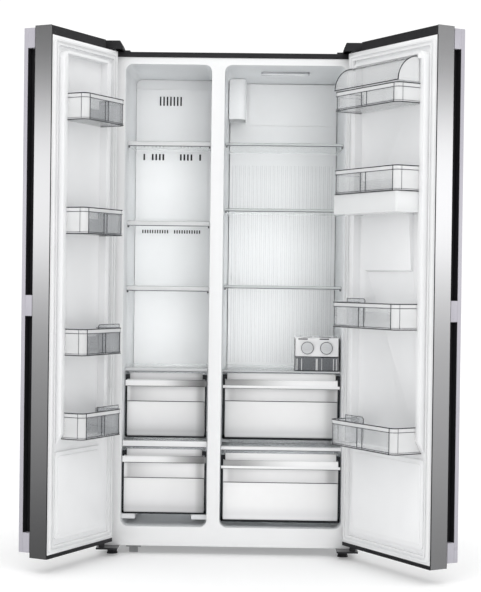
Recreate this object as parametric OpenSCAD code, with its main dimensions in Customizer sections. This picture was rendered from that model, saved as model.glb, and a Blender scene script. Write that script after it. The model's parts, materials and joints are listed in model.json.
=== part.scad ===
// Side by side refrigerator: freezer on the left, fresh food compartment on the right.
// Units are millimetres. The origin is on the floor, centred in the cabinet's width, in the plane of
// the cabinet's front face. +X is to the right as seen from the front, +Y to the back, +Z up.
// Both doors are drawn standing open by the two angles below.

/* [Cabinet] */
// Overall width of the cabinet
cab_w = 910; // [900:1:925]
// Depth of the cabinet behind its front face
cab_d = 608; // [606:1:640]
// Height of the cabinet's top sheet above the floor
cab_h = 1759; // [1756:1:1775]
// Height of the underside of the cabinet above the floor
base_z = 30; // [30:1:34]
// Height of the black strip along the top of the front
trim_h = 18; // [14:1:20]

/* [Compartments] */
// Insulation thickness beside the freezer
freezer_wall = 79; // [76:1:80]
// Clear width of the freezer's mouth
freezer_w = 302; // [300:1:304]
// Width of the divider between the two mouths
mullion_w = 45; // [44:1:46]
// Insulation thickness beside the fridge
fridge_wall = 57; // [55:1:60]
// Height of the floor of both compartments
mouth_lo = 97; // [95:1:98]
// Height of the ceiling of both compartments
mouth_hi = 1717; // [1715:1:1718]
// Corner radius of the two mouths
mouth_r = 26; // [15:1:30]

/* [Doors] */
// Width of the freezer door
freezer_door_w = 402; // [400:1:402]
// Gap between the two doors when they are shut
door_split = 6; // [5:1:8]
// Thickness of a door from its inner face to its front
door_t = 70; // [66:1:74]
// Distance from the shut door's inner face to the cabinet's front face
seal_gap = 12; // [12:1:13]
// Underside of the doors
door_lo = 50; // [50:1:52]
// Top of the doors
door_hi = 1785; // [1784:1:1788]
// Angle that the freezer door stands open
freezer_open = 116; // [0:1:135]
// Angle that the fridge door stands open
fridge_open = 121; // [0:1:135]

/* [Handles] */
// Width of the handle bar
bar_w = 30; // [24:1:34]
// How far the handle bar stands out from the door's front
bar_out = 41; // [38:1:46]

/* [Storage] */
// How far the freezer's door bins stand out of the door's inner face
freezer_bin_p = 100; // [90:1:100]
// How far the fridge's door bins stand out of the door's inner face
fridge_bin_p = 115; // [100:1:115]
// Wall thickness of the clear plastic tubs and bins
clear_t = 2.6; // [2:0.1:3]
// Thickness of the glass shelves
glass_t = 4; // [4:0.5:5]

/* [Hidden] */
$fn = 48;
eps = 0.01;
SMALL = 20;         // facets of small hidden rounds

// Cabinet
half = cab_w / 2;
sheet = 0.8;        // steel sheet of the outer shell
frame_t = 2;        // thickness of the white front frame
liner_t = 2;        // thickness of the plastic liners
face_hi = cab_h - trim_h;
back_y = cab_d - 2; // inner face of the back panel
fz0 = -half + freezer_wall;
fz1 = fz0 + freezer_w;
fr0 = fz1 + mullion_w;
fr1 = half - fridge_wall;
cavity_d = 546;     // depth of both liners
step_y = 352;       // the lower rear step over the machine compartment
step_z = 340;
freezer_draft = [4, 15];   // how far each side wall leans in at the back
fridge_draft = [6, 12];
machine_y = 402;    // front wall of the machine compartment
machine_z = 300;    // roof of the machine compartment

// Shelves: top height of each, and the front edge
freezer_shelf_z = [1457, 1173, 941];
fridge_shelf_z = [1456, 1222, 947];
freezer_shelf_y = 94;
fridge_shelf_y = 110;
freezer_cover_z = 650;
fridge_cover_z = 643;
freezer_mid_z = 396;
fridge_mid_z = 380;
upper_front_y = [94, 108];  // front of the upper drawers: freezer, fridge
lower_front_y = [24, 28];   // front of the lower drawers
freezer_duct_y = 402;       // front face of the freezer's duct cover
fridge_duct_y = 496;        // front face of the fridge's duct cover

// Drawers: floor, top, and the heights of the panel's top edge and of the handle bar
//                     floor  panel  bar_lo bar_hi  top
freezer_upper = [400, 529, 585, 607, 631];
freezer_lower = [138, 265, 320, 343, 367];
crisper_upper = [396, 533, 588, 610, 633];
crisper_lower = [114, 253, 310, 331, 356];
front_t = 8;        // thickness of a drawer's front frame

// Doors
fridge_door_w = cab_w - freezer_door_w - door_split;
pin_s = 18.4;       // hinge pin's distance from the door's side
pin_t = 32;         // hinge pin's distance from the door's inner face
pin_r = 5;
run_fit = 0.06;     // radial clearance of the turning fits
notch_s = 80;       // the door's top is lower over this width, under the hinge
notch_z = cab_h - 4;
liner_lo = door_lo + 13;
liner_hi = door_hi - 32;
ridge_h = 28;       // ridges at both sides of the door bins
ridge_w = 21;
ridge_lo = 432;
ridge_hi = 1706;
head_ridge_w = 10;
seal_w = 18;

// Door bins: rim height and depth of each, highest first
freezer_bins = [[1567, 86], [1196, 86], [799, 86], [525, 86]];
fridge_bins = [[1601, 63], [1338, 81], [896, 83], [501, 85]];
freezer_bin_s = [109, 350];
fridge_bin_s = [86, 450];

// Water dispenser in the fridge door
tank_lo = 1190;
tank_hi = 1256;
disp_s = [160, 340];
disp_z = [1015, 1290];
disp_d = 56;        // depth of the recess
paddle_s = 250;     // middle of the paddle across the door
paddle_back = 30;   // the paddle's pin behind the door's front
paddle_drop = 30;   // the paddle's pin below the recess's top

// Dairy cover
cover_pin = [34, 1688];  // p and z of its pins
cover_r = 81;

// Twist ice maker on the fridge's drawer cover
ice_x = [230, 388];
ice_y = [118, 318];
ice_z = [fridge_cover_z, 762];
tray_x = [275, 343];
tray_z = 726;
tray_half = 27;
knob_r = 22;

// ---------- shared shapes ----------

// Rectangle from the origin with four round corners
module round_rect(w, h, r) {
    translate([r, 0]) square([w - 2 * r, h]);
    translate([0, r]) square([w, h - 2 * r]);
    for (x = [r, w - r], y = [r, h - r])
        translate([x, y]) circle(r);
}

// Box between two corners
module block(lo, hi) {
    translate(lo) cube(hi - lo);
}

// Upright round-cornered prism, extruded from the plane y = y0 to y = y1
module wall_prism(x0, x1, z0, z1, y0, y1, r) {
    translate([x0, y1, z0])
        rotate([90, 0, 0])
            linear_extrude(y1 - y0) round_rect(x1 - x0, z1 - z0, r);
}

// Air space of one compartment, grown outwards by g
module cavity(x0, x1, draft, g = 0) {
    intersection() {
        wall_prism(x0 - g, x1 + g, mouth_lo - g, mouth_hi + g, frame_t, cavity_d + g, mouth_r + g);
        translate([0, 0, mouth_lo - 50])
            linear_extrude(mouth_hi - mouth_lo + 100)
                polygon([
                    [x0 - g, 0], [x1 + g, 0],
                    [x1 + g - draft[1], cavity_d + g], [x0 - g + draft[0], cavity_d + g]
                ]);
        difference() {
            block([x0 - 50, 0, 0], [x1 + 50, cavity_d + 50, cab_h]);
            block([x0 - 60, step_y + g, -1], [x1 + 60, cavity_d + 60, step_z - g]);
        }
    }
}

// Outline of a row of equal slots
module slots(x0, x1, z0, z1, count, w) {
    pitch = count > 1 ? (x1 - x0 - w) / (count - 1) : 0;
    for (i = [0 : count - 1])
        translate([x0 + i * pitch, z0]) square([w, z1 - z0]);
}

// Half ring of tube in the XZ plane, open towards -X
module return_bend(d, r) {
    rotate([90, 0, 0]) intersection() {
        rotate_extrude($fn = SMALL) translate([d / 2, 0]) circle(r, $fn = SMALL);
        block([0, -d, -r - 1], [d, d, r + 1]);
    }
}

// Serpentine of tubes along X with thin fins, rows up Z and columns back along Y
module fin_coil(lo, hi, rows, cols, fins, r) {
    dy = (hi[1] - lo[1] - 4 * r) / max(cols - 1, 1);
    dz = (hi[2] - lo[2] - 4 * r) / (rows - 1);
    for (c = [0 : cols - 1], i = [0 : rows - 1])
        translate([lo[0], lo[1] + 2 * r + c * dy, lo[2] + 2 * r + i * dz])
            rotate([0, 90, 0]) cylinder(h = hi[0] - lo[0], r = r, $fn = SMALL);
    for (c = [0 : cols - 1], i = [0 : rows - 2])
        translate([i % 2 == 0 ? hi[0] : lo[0], lo[1] + 2 * r + c * dy, lo[2] + 2 * r + (i + 0.5) * dz])
            mirror([i % 2, 0, 0]) return_bend(dz, r);
    for (k = [0 : fins - 1])
        translate([lo[0] + 12 + k * (hi[0] - lo[0] - 24) / (fins - 1), lo[1], lo[2]])
            cube([0.8, hi[1] - lo[1], hi[2] - lo[2]]);
}

// Moves a child from door coordinates to its place on the open freezer door. In door coordinates
// X runs from the hinge side to the free side, Y from the inner face into the cabinet, and Z up.
module on_freezer_door() {
    translate([-half + pin_s, -seal_gap - pin_t, 0])
        rotate([0, 0, -freezer_open])
            translate([-pin_s, pin_t, 0]) children();
}

module on_fridge_door() {
    translate([half - pin_s, -seal_gap - pin_t, 0])
        rotate([0, 0, fridge_open])
            mirror([1, 0, 0])
                translate([-pin_s, pin_t, 0]) children();
}

// ---------- cabinet ----------

module cabinet_shell() {
    color("gainsboro")
        for (side = [-1, 1])
            block(
                [side < 0 ? -half : half - sheet, frame_t, base_z],
                [side < 0 ? -half + sheet : half, back_y, cab_h]
            );
    color("gainsboro") block([-half, frame_t, cab_h - sheet], [half, back_y, cab_h]);
}

module back_panel() {
    color("lightgray")
        block([-half, back_y, machine_z], [half, back_y + 1, cab_h]);
}

roller_y = 560;
roller_r = 18;
roller_x = 380;
axle_r = 4;
ear_x = [364, 396];  // middle planes of the ears beside each roller

module base_frame() {
    t = 1.2;
    inner = half - sheet;
    color("silver") difference() {
        union() {
            block([-inner, frame_t, base_z], [inner, machine_y, base_z + t]);
            block([-inner, machine_y - t, base_z], [inner, machine_y, machine_z]);
            block([-inner, machine_y - t, machine_z - t], [inner, back_y, machine_z]);
            block([-inner, machine_y - t, base_z], [inner, back_y, base_z + t]);
            // ears that carry the roller shaft
            for (side = [-1, 1], x = ear_x)
                block([side * x - 1.5, roller_y - 14, 9], [side * x + 1.5, roller_y + 14, base_z + eps]);
        }
        for (side = [-1, 1])
            block([side * roller_x - 13, roller_y - 24, base_z - 1],
                  [side * roller_x + 13, roller_y + 24, base_z + 3]);
        translate([-half, roller_y, roller_r])
            rotate([0, 90, 0]) cylinder(h = cab_w, r = axle_r + run_fit);
    }
    // transit bracket under the freezer's floor
    color("whitesmoke") {
        block([-356, 12, 23], [-304, 34, base_z]);
        block([-345, 14, 4], [-315, 32, 23]);
    }
}

module cabinet_foam() {
    color("khaki") difference() {
        block([-half + sheet, frame_t, base_z + 1.2], [half - sheet, back_y, cab_h - sheet]);
        cavity(fz0, fz1, freezer_draft, liner_t);
        cavity(fr0, fr1, fridge_draft, liner_t);
        block([-half, machine_y - 1.2, 0], [half, cab_d, machine_z]);
    }
}

module front_frame() {
    color("white") difference() {
        block([-half, 0, base_z], [half, frame_t, face_hi]);
        wall_prism(fz0, fz1, mouth_lo, mouth_hi, -1, frame_t + 1, mouth_r);
        wall_prism(fr0, fr1, mouth_lo, mouth_hi, -1, frame_t + 1, mouth_r);
    }
}

module top_trim() {
    color("#202124") block([-half, -3, face_hi], [half, frame_t, cab_h]);
}

// ---------- liners and what is fixed in them ----------

ledge_h = 6;
ledge_w = 5;

// Side ledges that carry a shelf, with their tops at z, as wide all along the leaning walls
module ledges(x0, x1, draft, z, y0, y1) {
    difference() {
        intersection() {
            block([x0 - 1, y0, z - ledge_h], [x1 + 1, y1, z]);
            cavity(x0, x1, draft, liner_t);
        }
        translate([0, 0, -1]) linear_extrude(cab_h + 2)
            polygon([
                [x0 + ledge_w, -1], [x1 - ledge_w, -1],
                [x1 - ledge_w - draft[1], cavity_d], [x0 + ledge_w + draft[0], cavity_d]
            ]);
    }
}

// Straight runners for a drawer, from z0 to z1, that reach in from each side wall
module runners(x0, x1, draft, reach, z0, z1, y0, y1) {
    intersection() {
        union() {
            block([x0 - 1, y0, z0], [x0 + reach[0], y1, z1]);
            block([x1 - reach[1], y0, z0], [x1 + 1, y1, z1]);
        }
        cavity(x0, x1, draft, liner_t);
    }
}

module freezer_liner() {
    color("white") {
        difference() {
            cavity(fz0, fz1, freezer_draft, liner_t);
            translate([0, -eps, 0]) cavity(fz0, fz1, freezer_draft);
        }
        for (s = shelf_rows())
            if (s[0] < fr0 - 10)
                ledges(fz0, fz1, freezer_draft, s[4] - s[7] - glass_t, s[2] + s[6] + 2, s[3] - 4);
        runners(fz0, fz1, freezer_draft, [26, 40], freezer_mid_z - 2, freezer_upper[0] - 0.5, 112, 340);
        runners(fz0, fz1, freezer_draft, [48, 55], freezer_lower[0] - 18, freezer_lower[0] - 0.5, 26, 335);
    }
}

module fridge_liner() {
    color("white") {
        difference() {
            cavity(fr0, fr1, fridge_draft, liner_t);
            translate([0, -eps, 0]) cavity(fr0, fr1, fridge_draft);
        }
        for (s = shelf_rows())
            if (s[0] > fr0 - 10)
                ledges(fr0, fr1, fridge_draft, s[4] - s[7] - glass_t, s[2] + s[6] + 2, s[3] - 4);
        runners(fr0, fr1, fridge_draft, [28, 34], fridge_mid_z + 4, crisper_upper[0] - 0.5, 124, 470);
        runners(fr0, fr1, fridge_draft, [30, 34], mouth_lo - 1, crisper_lower[0] - 0.5, 90, 335);
    }
}

// Cold air cover in front of the evaporator, with three rows of outlets
module freezer_duct_cover() {
    x0 = fz0 + 4;
    x1 = fz1 - 14;
    y = freezer_duct_y;
    color("white") intersection() {
        cavity(fz0, fz1, freezer_draft, -1);
        difference() {
            union() {
                translate([x0, 0, 0]) rotate([90, 0, 90])
                    linear_extrude(x1 - x0)
                        polygon([
                            [y, step_z + 2], [y, 1680], [y + 8, mouth_hi - 1], [y + 14, mouth_hi - 1],
                            [y + 6, 1678], [y + 6, step_z + 2]
                        ]);
                // raised panels above and below the first shelf
                for (z = [[1478, 1678], [1190, 1442]])
                    wall_prism(x0 + 14, x1 - 14, z[0], z[1], y - 3, y + 1, 12);
            }
            translate([0, y + 20, 0]) rotate([90, 0, 0]) linear_extrude(40) {
                slots(-285, -202, 1618, 1653, 7, 6);
                slots(-345, -338, 1413, 1437, 1, 7);
                slots(-313, -266, 1413, 1437, 4, 7);
                slots(-207, -160, 1413, 1437, 4, 7);
                slots(-134, -127, 1413, 1437, 1, 7);
                slots(-346, -248, 1138, 1151, 11, 5);
                slots(-226, -127, 1138, 1151, 11, 5);
            }
        }
    }
}

module fridge_duct_cover() {
    x0 = fr0 + 8;
    x1 = fr1 - 13;
    y = fridge_duct_y;
    ribs = 24;
    pitch = (x1 - x0 - 20) / ribs;
    color("white") intersection() {
        cavity(fr0, fr1, fridge_draft, -1);
        union() {
            block([x0, y, step_z + 2], [x1, y + 5, mouth_hi - 1]);
            // smooth head panel
            block([x0 + 70, y - 5, 1556], [x1, y + 1, mouth_hi - 3]);
            // upright ribs from the drawers to the smooth band under the first shelf
            for (i = [0 : ribs - 1])
                block([x0 + 12 + i * pitch, y - 2, 652], [x0 + 12 + (i + 0.6) * pitch, y + 1, 1404]);
        }
    }
}

// Air damper and its round-cornered cover in the fridge's upper left corner
module damper_box() {
    y0 = 340;
    z0 = 1565;
    z1 = mouth_hi - 2;
    face_w = 32;
    corner_r = 30;
    wall = 3;
    module plan(g) {
        depth = fridge_duct_y - y0 - 2 * g;
        r = corner_r - g;
        square([face_w - g, depth]);
        translate([0, r]) square([face_w - g + r, depth - r]);
        translate([face_w - g, r]) circle(r);
    }
    color("ghostwhite") intersection() {
        cavity(fr0, fr1, fridge_draft, -1);
        difference() {
            translate([fr0 + 7, y0, z0]) linear_extrude(z1 - z0) plan(0);
            translate([fr0 + 7 + wall, y0 + wall, z0 - 1]) linear_extrude(z1 - z0 - 2) plan(wall);
        }
    }
}

module ceiling_lamp() {
    color("aliceblue") translate([99, 158, mouth_hi - 7])
        linear_extrude(7) round_rect(170, 56, 12);
}

// Shelves as [left, right, trim front, back, trim top, trim height, trim depth, glass drop]
function shelf_rows() = concat(
    [for (z = freezer_shelf_z) [fz0 + 2, fz1 - 6, freezer_shelf_y, 392, z, 18, 14, 4]],
    [[fz0 + 2, fz1 - 6, freezer_shelf_y - 6, 392, freezer_cover_z, 14, 14, 3]],
    [[fz0 + 2, fz1 - 3, lower_front_y[0], 342, freezer_mid_z, 22, 14, 3]],
    [for (z = fridge_shelf_z) [fr0 + 3, fr1 - 5, fridge_shelf_y, 484, z, 11, 12, 2]],
    [[fr0 + 3, fr1 - 5, fridge_shelf_y - 6, 484, fridge_cover_z, 7, 16, 0]],
    [[fr0 + 3, fr1 - 3, lower_front_y[1], 342, fridge_mid_z, 14, 14, 2]]
);

// Glass panes: their sides follow the leaning walls with a clearance
module shelf_glass() {
    color("lightcyan")
        for (s = shelf_rows()) {
            freezer = s[0] < fr0 - 10;
            d = freezer ? freezer_draft : fridge_draft;
            x0 = freezer ? fz0 : fr0;
            x1 = freezer ? fz1 : fr1;
            y0 = s[2] + s[6] / 2;
            translate([0, 0, s[4] - s[7] - glass_t])
                linear_extrude(glass_t)
                    polygon([
                        [x0 + 1.5 + d[0] * y0 / cavity_d, y0], [x1 - 1.5 - d[1] * y0 / cavity_d, y0],
                        [x1 - 1.5 - d[1] * s[3] / cavity_d, s[3]], [x0 + 1.5 + d[0] * s[3] / cavity_d, s[3]]
                    ]);
        }
}

// Front trims, each with a groove that holds its pane
module shelf_trims() {
    color("white")
        for (s = shelf_rows())
            difference() {
                block([s[0], s[2], s[4] - s[5]], [s[1], s[2] + s[6], s[4]]);
                block([s[0] - 1, s[2] + s[6] / 2, s[4] - s[7] - glass_t],
                      [s[1] + 1, s[2] + s[6] + 1, s[4] - s[7]]);
            }
}

// ---------- hinges, feet and rollers ----------

pin_y = -seal_gap - pin_t;

module both_sides() {
    children();
    mirror([1, 0, 0]) children();
}

module upper_hinges() {
    color("dimgray") both_sides()
        difference() {
            union() {
                block([half - 46, pin_y - 14, cab_h], [half - 8, 70, cab_h + 3]);
                translate([half - pin_s, pin_y, cab_h - 24]) cylinder(h = 24 + eps, r = pin_r);
            }
            for (y = [22, 54])
                translate([half - 25, y, cab_h - 1]) cylinder(h = 6, r = 3.2, $fn = SMALL);
        }
}

module hinge_covers() {
    lo = [half - 73, pin_y - 18, cab_h + 0.5];
    hi = [half - 4, 78, cab_h + 30];
    color("#202124") both_sides()
        difference() {
            union() {
                translate([lo[0], hi[1], lo[2]]) rotate([90, 0, 0])
                    linear_extrude(hi[1] - lo[1])
                        polygon([
                            [0, 0], [hi[0] - lo[0], 0], [hi[0] - lo[0], hi[2] - lo[2] - 6],
                            [hi[0] - lo[0] - 6, hi[2] - lo[2]], [9, hi[2] - lo[2]], [0, 8]
                        ]);
                block([lo[0] - 20, 6, lo[2]], [lo[0] + 1, hi[1], lo[2] + 6]);
            }
            block([lo[0] + 12, lo[1] + 2.5, lo[2] - 1], [hi[0] - 2.5, hi[1] - 2.5, hi[2] - 10]);
            block([lo[0] + 2.5, lo[1] + 2.5, lo[2] - 1], [hi[0] - 2.5, hi[1] - 2.5, lo[2] + 4]);
        }
}

foot_x = 405;
foot_y = 14;
stud_r = 5;

module lower_hinges() {
    color("#202124") both_sides()
        difference() {
            union() {
                block([half - 74, pin_y - 16, base_z - 6], [half, 60, base_z]);
                translate([half - pin_s, pin_y, base_z - eps]) cylinder(h = 14, r = 11);
                translate([half - pin_s, pin_y, base_z]) cylinder(h = door_lo + 12 - base_z, r = pin_r);
            }
            translate([foot_x, foot_y, base_z - 10]) cylinder(h = 20, r = stud_r);
        }
}

module levelling_feet() {
    color("#2b2b2b") both_sides()
        translate([foot_x, foot_y, 0]) {
            cylinder(h = 4, r = 19);
            translate([0, 0, 4]) cylinder(h = 10, r = 17);
            cylinder(h = base_z, r = stud_r);
        }
}

module rear_rollers() {
    color("#333333") {
        for (side = [-1, 1])
            translate([side * roller_x - 8, roller_y, roller_r])
                rotate([0, 90, 0]) cylinder(h = 16, r = roller_r);
        translate([-ear_x[1] - 6, roller_y, roller_r])
            rotate([0, 90, 0]) cylinder(h = 2 * ear_x[1] + 12, r = axle_r);
    }
}

// ---------- cooling circuit ----------

fan_c = [(fz0 + fz1) / 2 - 10, 470, 1060];

module evaporator() {
    lo = [fz0 + 36, 440, 640];
    hi = [fz1 - 58, 500, 900];
    pitch = (hi[0] - lo[0] - 24) / 11;
    color("silver") {
        fin_coil(lo, hi, 6, 2, 12, 4);
        // brackets from the second fin at each side to the liner's back wall
        for (x = [lo[0] + 12 + pitch, hi[0] - 12 - pitch])
            block([x - 6, hi[1] - 2, 760], [x + 6, cavity_d - eps, 776]);
    }
}

module fan_motor() {
    color("gray") translate(fan_c) {
        // ring round the blades, held by three arms from the motor
        rotate([-90, 0, 0]) difference() {
            cylinder(h = 28, r = 66);
            translate([0, 0, -1]) cylinder(h = 30, r = 60);
        }
        for (a = [0, 120, 240])
            rotate([0, a, 0]) block([16, 24, -5], [63, 30, 5]);
        translate([0, 22, 0]) rotate([-90, 0, 0]) cylinder(h = cavity_d - eps - fan_c[1] - 22, r = 20);
        translate([0, 2, 0]) rotate([-90, 0, 0]) cylinder(h = 21, r = 3);
    }
}

module evaporator_fan() {
    color("whitesmoke") translate(fan_c) difference() {
        union() {
            rotate([-90, 0, 0]) cylinder(h = 18, r = 16);
            for (i = [0 : 6])
                rotate([0, i * 360 / 7, 0]) translate([12, 9, 0])
                    rotate([32, 0, 0]) translate([0, -1, -9]) cube([42, 2, 18]);
        }
        translate([0, 1.5, 0]) rotate([-90, 0, 0]) cylinder(h = 30, r = 3 + run_fit);
    }
}

module compressor() {
    color("#26282b") translate([235, 505, base_z + 1.2]) {
        rotate_extrude() {
            translate([0, 26]) square([74, 92]);
            translate([0, 16]) square([58, 10 + eps]);
            translate([0, 118 - eps]) square([60, 22]);
        }
        difference() {
            translate([-95, -62, 12]) cube([190, 124, 4]);
            for (x = [-84, 84], y = [-50, 50])
                translate([x, y, 0]) cylinder(h = 30, r = 5, $fn = SMALL);
        }
        for (x = [-84, 84], y = [-50, 50])
            translate([x, y, 0]) cylinder(h = 12, r = 12, $fn = SMALL);
        translate([-90, -32, 40]) cube([40, 64, 58]);
        translate([0, 0, 139]) cylinder(h = 40, r = 4, $fn = SMALL);
    }
}

module condenser() {
    color("#1d1d1f") fin_coil([-330, 430, base_z + 1.2], [-60, 530, 190], 5, 2, 10, 4);
}

module drain_pan() {
    color("#2f3033") translate([-350, 422, 190])
        difference() {
            linear_extrude(28) round_rect(310, 160, 12);
            translate([2.5, 2.5, 2.5]) linear_extrude(30) round_rect(305, 155, 10);
        }
}

module machine_cover() {
    inner = half - sheet - 0.5;
    color("#55585c") difference() {
        block([-inner, back_y - 2, base_z + 4], [inner, back_y, machine_z - 2]);
        translate([0, back_y + 5, 0]) rotate([90, 0, 0]) linear_extrude(20)
            for (z = [90, 150, 210])
                slots(-380, -60, z, z + 36, 17, 8);
        translate([0, back_y + 5, 0]) rotate([90, 0, 0]) linear_extrude(20)
            translate([330, 120]) square([60, 44]);
    }
}

// Recessed three-pin inlet for a detachable mains lead
module power_inlet() {
    color("#202124") difference() {
        union() {
            block([330.2, back_y - 26, 120.2], [389.8, back_y, 163.8]);
            block([324, back_y, 114], [396, back_y + 2, 170]);
        }
        block([342, back_y - 20, 130], [378, back_y + 3, 154]);
    }
    color("silver")
        for (x = [-11, 0, 11])
            block([360 + x - 1, back_y - 21, 136], [360 + x + 1, back_y - 4, 144]);
}

// ---------- drawers ----------

// Clear tub: floor at z[0], rim at z[4], open at the top, with a flange along both sides
module tub(x0, x1, y0, y1, z) {
    color("lightsteelblue") {
        difference() {
            translate([x0, y0, z[0]]) linear_extrude(z[4] - z[0]) round_rect(x1 - x0, y1 - y0, 12);
            translate([x0 + clear_t, y0 + clear_t, z[0] + clear_t])
                linear_extrude(z[4]) round_rect(x1 - x0 - 2 * clear_t, y1 - y0 - 2 * clear_t, 12 - clear_t);
        }
        for (x = [x0 - 5, x1 - 1])
            block([x, y0 + 30, z[4] - 5], [x + 6, y1 - 14, z[4] - 1.5]);
    }
}

// White front frame: panel at the bottom, two posts, and the grip bar across the top
module drawer_front(x0, x1, y0, z, bar_y) {
    color("white") {
        block([x0, y0, z[0]], [x1, y0 + front_t, z[1]]);
        block([x0, y0, z[1] - eps], [x0 + 7, y0 + front_t, z[3]]);
        block([x1 - 7, y0, z[1] - eps], [x1, y0 + front_t, z[3]]);
        difference() {
            block([x0, bar_y, z[2]], [x1, y0 + front_t, z[3]]);
            block([x0 + 12, bar_y + 4, z[2] - 1], [x1 - 12, y0 + front_t - 2, z[3] - 4]);
        }
    }
}

// Left and right side of a tub that reaches back to y between two leaning walls
function tub_x(x0, x1, draft, y) = [
    x0 + draft[0] * y / cavity_d + 7, x1 - draft[1] * y / cavity_d - 7
];

module freezer_upper_tub() {
    x = tub_x(fz0, fz1, freezer_draft, 388);
    tub(x[0], x[1], upper_front_y[0] + front_t, 388, freezer_upper);
}

module freezer_upper_front() {
    drawer_front(fz0 + 4, fz1 - 9, upper_front_y[0], freezer_upper, upper_front_y[0] - 14);
}

module freezer_lower_tub() {
    x = tub_x(fz0, fz1, freezer_draft, 338);
    tub(x[0], x[1], lower_front_y[0] + front_t, 338, freezer_lower);
}

module freezer_lower_front() {
    drawer_front(fz0 + 2, fz1 - 5, lower_front_y[0], freezer_lower, lower_front_y[0] - 6);
}

module crisper_upper_tub() {
    x = tub_x(fr0, fr1, fridge_draft, 478);
    tub(x[0], x[1], upper_front_y[1] + front_t, 478, crisper_upper);
}

module crisper_upper_front() {
    drawer_front(fr0 + 4, fr1 - 6, upper_front_y[1], crisper_upper, upper_front_y[1] - 13);
}

module crisper_lower_tub() {
    x = tub_x(fr0, fr1, fridge_draft, 338);
    tub(x[0], x[1], lower_front_y[1] + front_t, 338, crisper_lower);
}

module crisper_lower_front() {
    drawer_front(fr0 + 3, fr1 - 4, lower_front_y[1], crisper_lower, lower_front_y[1] - 8);
}

// ---------- twist ice maker ----------

module ice_maker_frame() {
    t = 3;
    lo = [ice_x[0], ice_y[0], ice_z[0]];
    hi = [ice_x[1], ice_y[1], ice_z[1]];
    color("white") difference() {
        block(lo, hi);
        // inside, open below for the bin
        block([lo[0] + t, lo[1] + t, lo[2] - 1], [hi[0] - t, hi[1] - t, hi[2] - t]);
        // mouth for the bin
        block([lo[0] + t, lo[1] - 1, lo[2] - 1], [hi[0] - t, lo[1] + t + 1, 694]);
        // filling windows over the trays
        for (x = tray_x)
            translate([x, (lo[1] + hi[1]) / 2, hi[2] - t - 1])
                linear_extrude(t + 2) translate([-20, -75]) round_rect(40, 150, 19);
        for (x = tray_x) {
            translate([x, lo[1] - 1, tray_z]) rotate([-90, 0, 0]) cylinder(h = t + 2, r = knob_r + run_fit);
            translate([x, hi[1] - t - 1, tray_z]) rotate([-90, 0, 0]) cylinder(h = t + 2, r = 4 + run_fit);
        }
    }
}

// One cube tray with its round knob at the front and a pivot at the back
module ice_tray(x) {
    y0 = ice_y[0] + 4;
    y1 = ice_y[1] - 5;
    cells = 6;
    pitch = (y1 - y0 - 3) / cells;
    color("lightsteelblue") {
        difference() {
            block([x - tray_half, y0, tray_z - 12], [x + tray_half, y1, tray_z + 12]);
            for (i = [0 : cells - 1], j = [0, 1])
                block([x - tray_half + 2 + j * 26, y0 + 2.5 + i * pitch, tray_z - 9],
                      [x - tray_half + 26 + j * 26, y0 + i * pitch + pitch, tray_z + 13]);
        }
        translate([x, y1 - 1, tray_z]) rotate([-90, 0, 0]) cylinder(h = 6, r = 4);
        translate([x, ice_y[0] - 5, tray_z]) rotate([-90, 0, 0]) cylinder(h = 9.5, r = knob_r);
        block([x - 18, ice_y[0] - 9, tray_z - 2.5], [x + 18, ice_y[0] - 4.5, tray_z + 2.5]);
    }
}

module ice_tray_left() {
    ice_tray(tray_x[0]);
}

module ice_tray_right() {
    ice_tray(tray_x[1]);
}

module ice_bin() {
    lo = [ice_x[0] + 4, ice_y[0] + 0.5, ice_z[0] + 0.5];
    hi = [ice_x[1] - 4, ice_y[1] - 6, 691];
    mid = (lo[0] + hi[0]) / 2;
    color("lightsteelblue") difference() {
        block(lo, hi);
        block([lo[0] + 2.5, lo[1] + 2.5, lo[2] + 2.5], [mid - 1.2, hi[1] - 2.5, hi[2] + 1]);
        block([mid + 1.2, lo[1] + 2.5, lo[2] + 2.5], [hi[0] - 2.5, hi[1] - 2.5, hi[2] + 1]);
    }
}

// ---------- door parts, in door coordinates ----------

// Plan outline of a door from t0 to t1 in front of its inner face, front corners rounded
module door_plan(w, inset, t0, t1, r) {
    translate([inset, -t1 + r]) square([w - 2 * inset, t1 - r - t0]);
    translate([inset + r, -t1]) square([w - 2 * inset - 2 * r, t1 - t0]);
    for (x = [inset + r, w - inset - r])
        translate([x, -t1 + r]) circle(r);
}

// Cuts the low step under the upper hinge
module hinge_notch() {
    block([-5, -door_t - 5, notch_z], [notch_s, 5, door_hi + 5]);
}

// Pressed steel pan: front and both sides, open at the back, top and bottom
module door_skin(w) {
    color("silver") difference() {
        translate([0, 0, door_lo]) linear_extrude(door_hi - door_lo)
            difference() {
                door_plan(w, 0, liner_t, door_t, 6);
                translate([0, 1]) door_plan(w, sheet, 1, door_t + 1 - sheet, 6 - sheet);
            }
        hinge_notch();
    }
}

// Black plastic caps that close the pan at both ends and carry the hinge pins' bushes
module door_caps(w) {
    color("#202124") difference() {
        union() {
            translate([0, 0, liner_hi]) linear_extrude(door_hi - 2 - liner_hi)
                door_plan(w, sheet, 0, door_t - sheet, 6 - sheet);
            block([sheet, -door_t + sheet + 6, notch_z - 40], [notch_s - 2, -4, liner_hi + 1]);
            translate([0, 0, door_lo]) linear_extrude(liner_lo - door_lo)
                door_plan(w, sheet, 0, door_t - sheet, 6 - sheet);
        }
        hinge_notch();
        translate([pin_s, -pin_t, notch_z - 23]) cylinder(h = 40, r = pin_r + run_fit);
        translate([pin_s, -pin_t, door_lo - 1]) cylinder(h = 14, r = pin_r + run_fit);
    }
}

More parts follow.
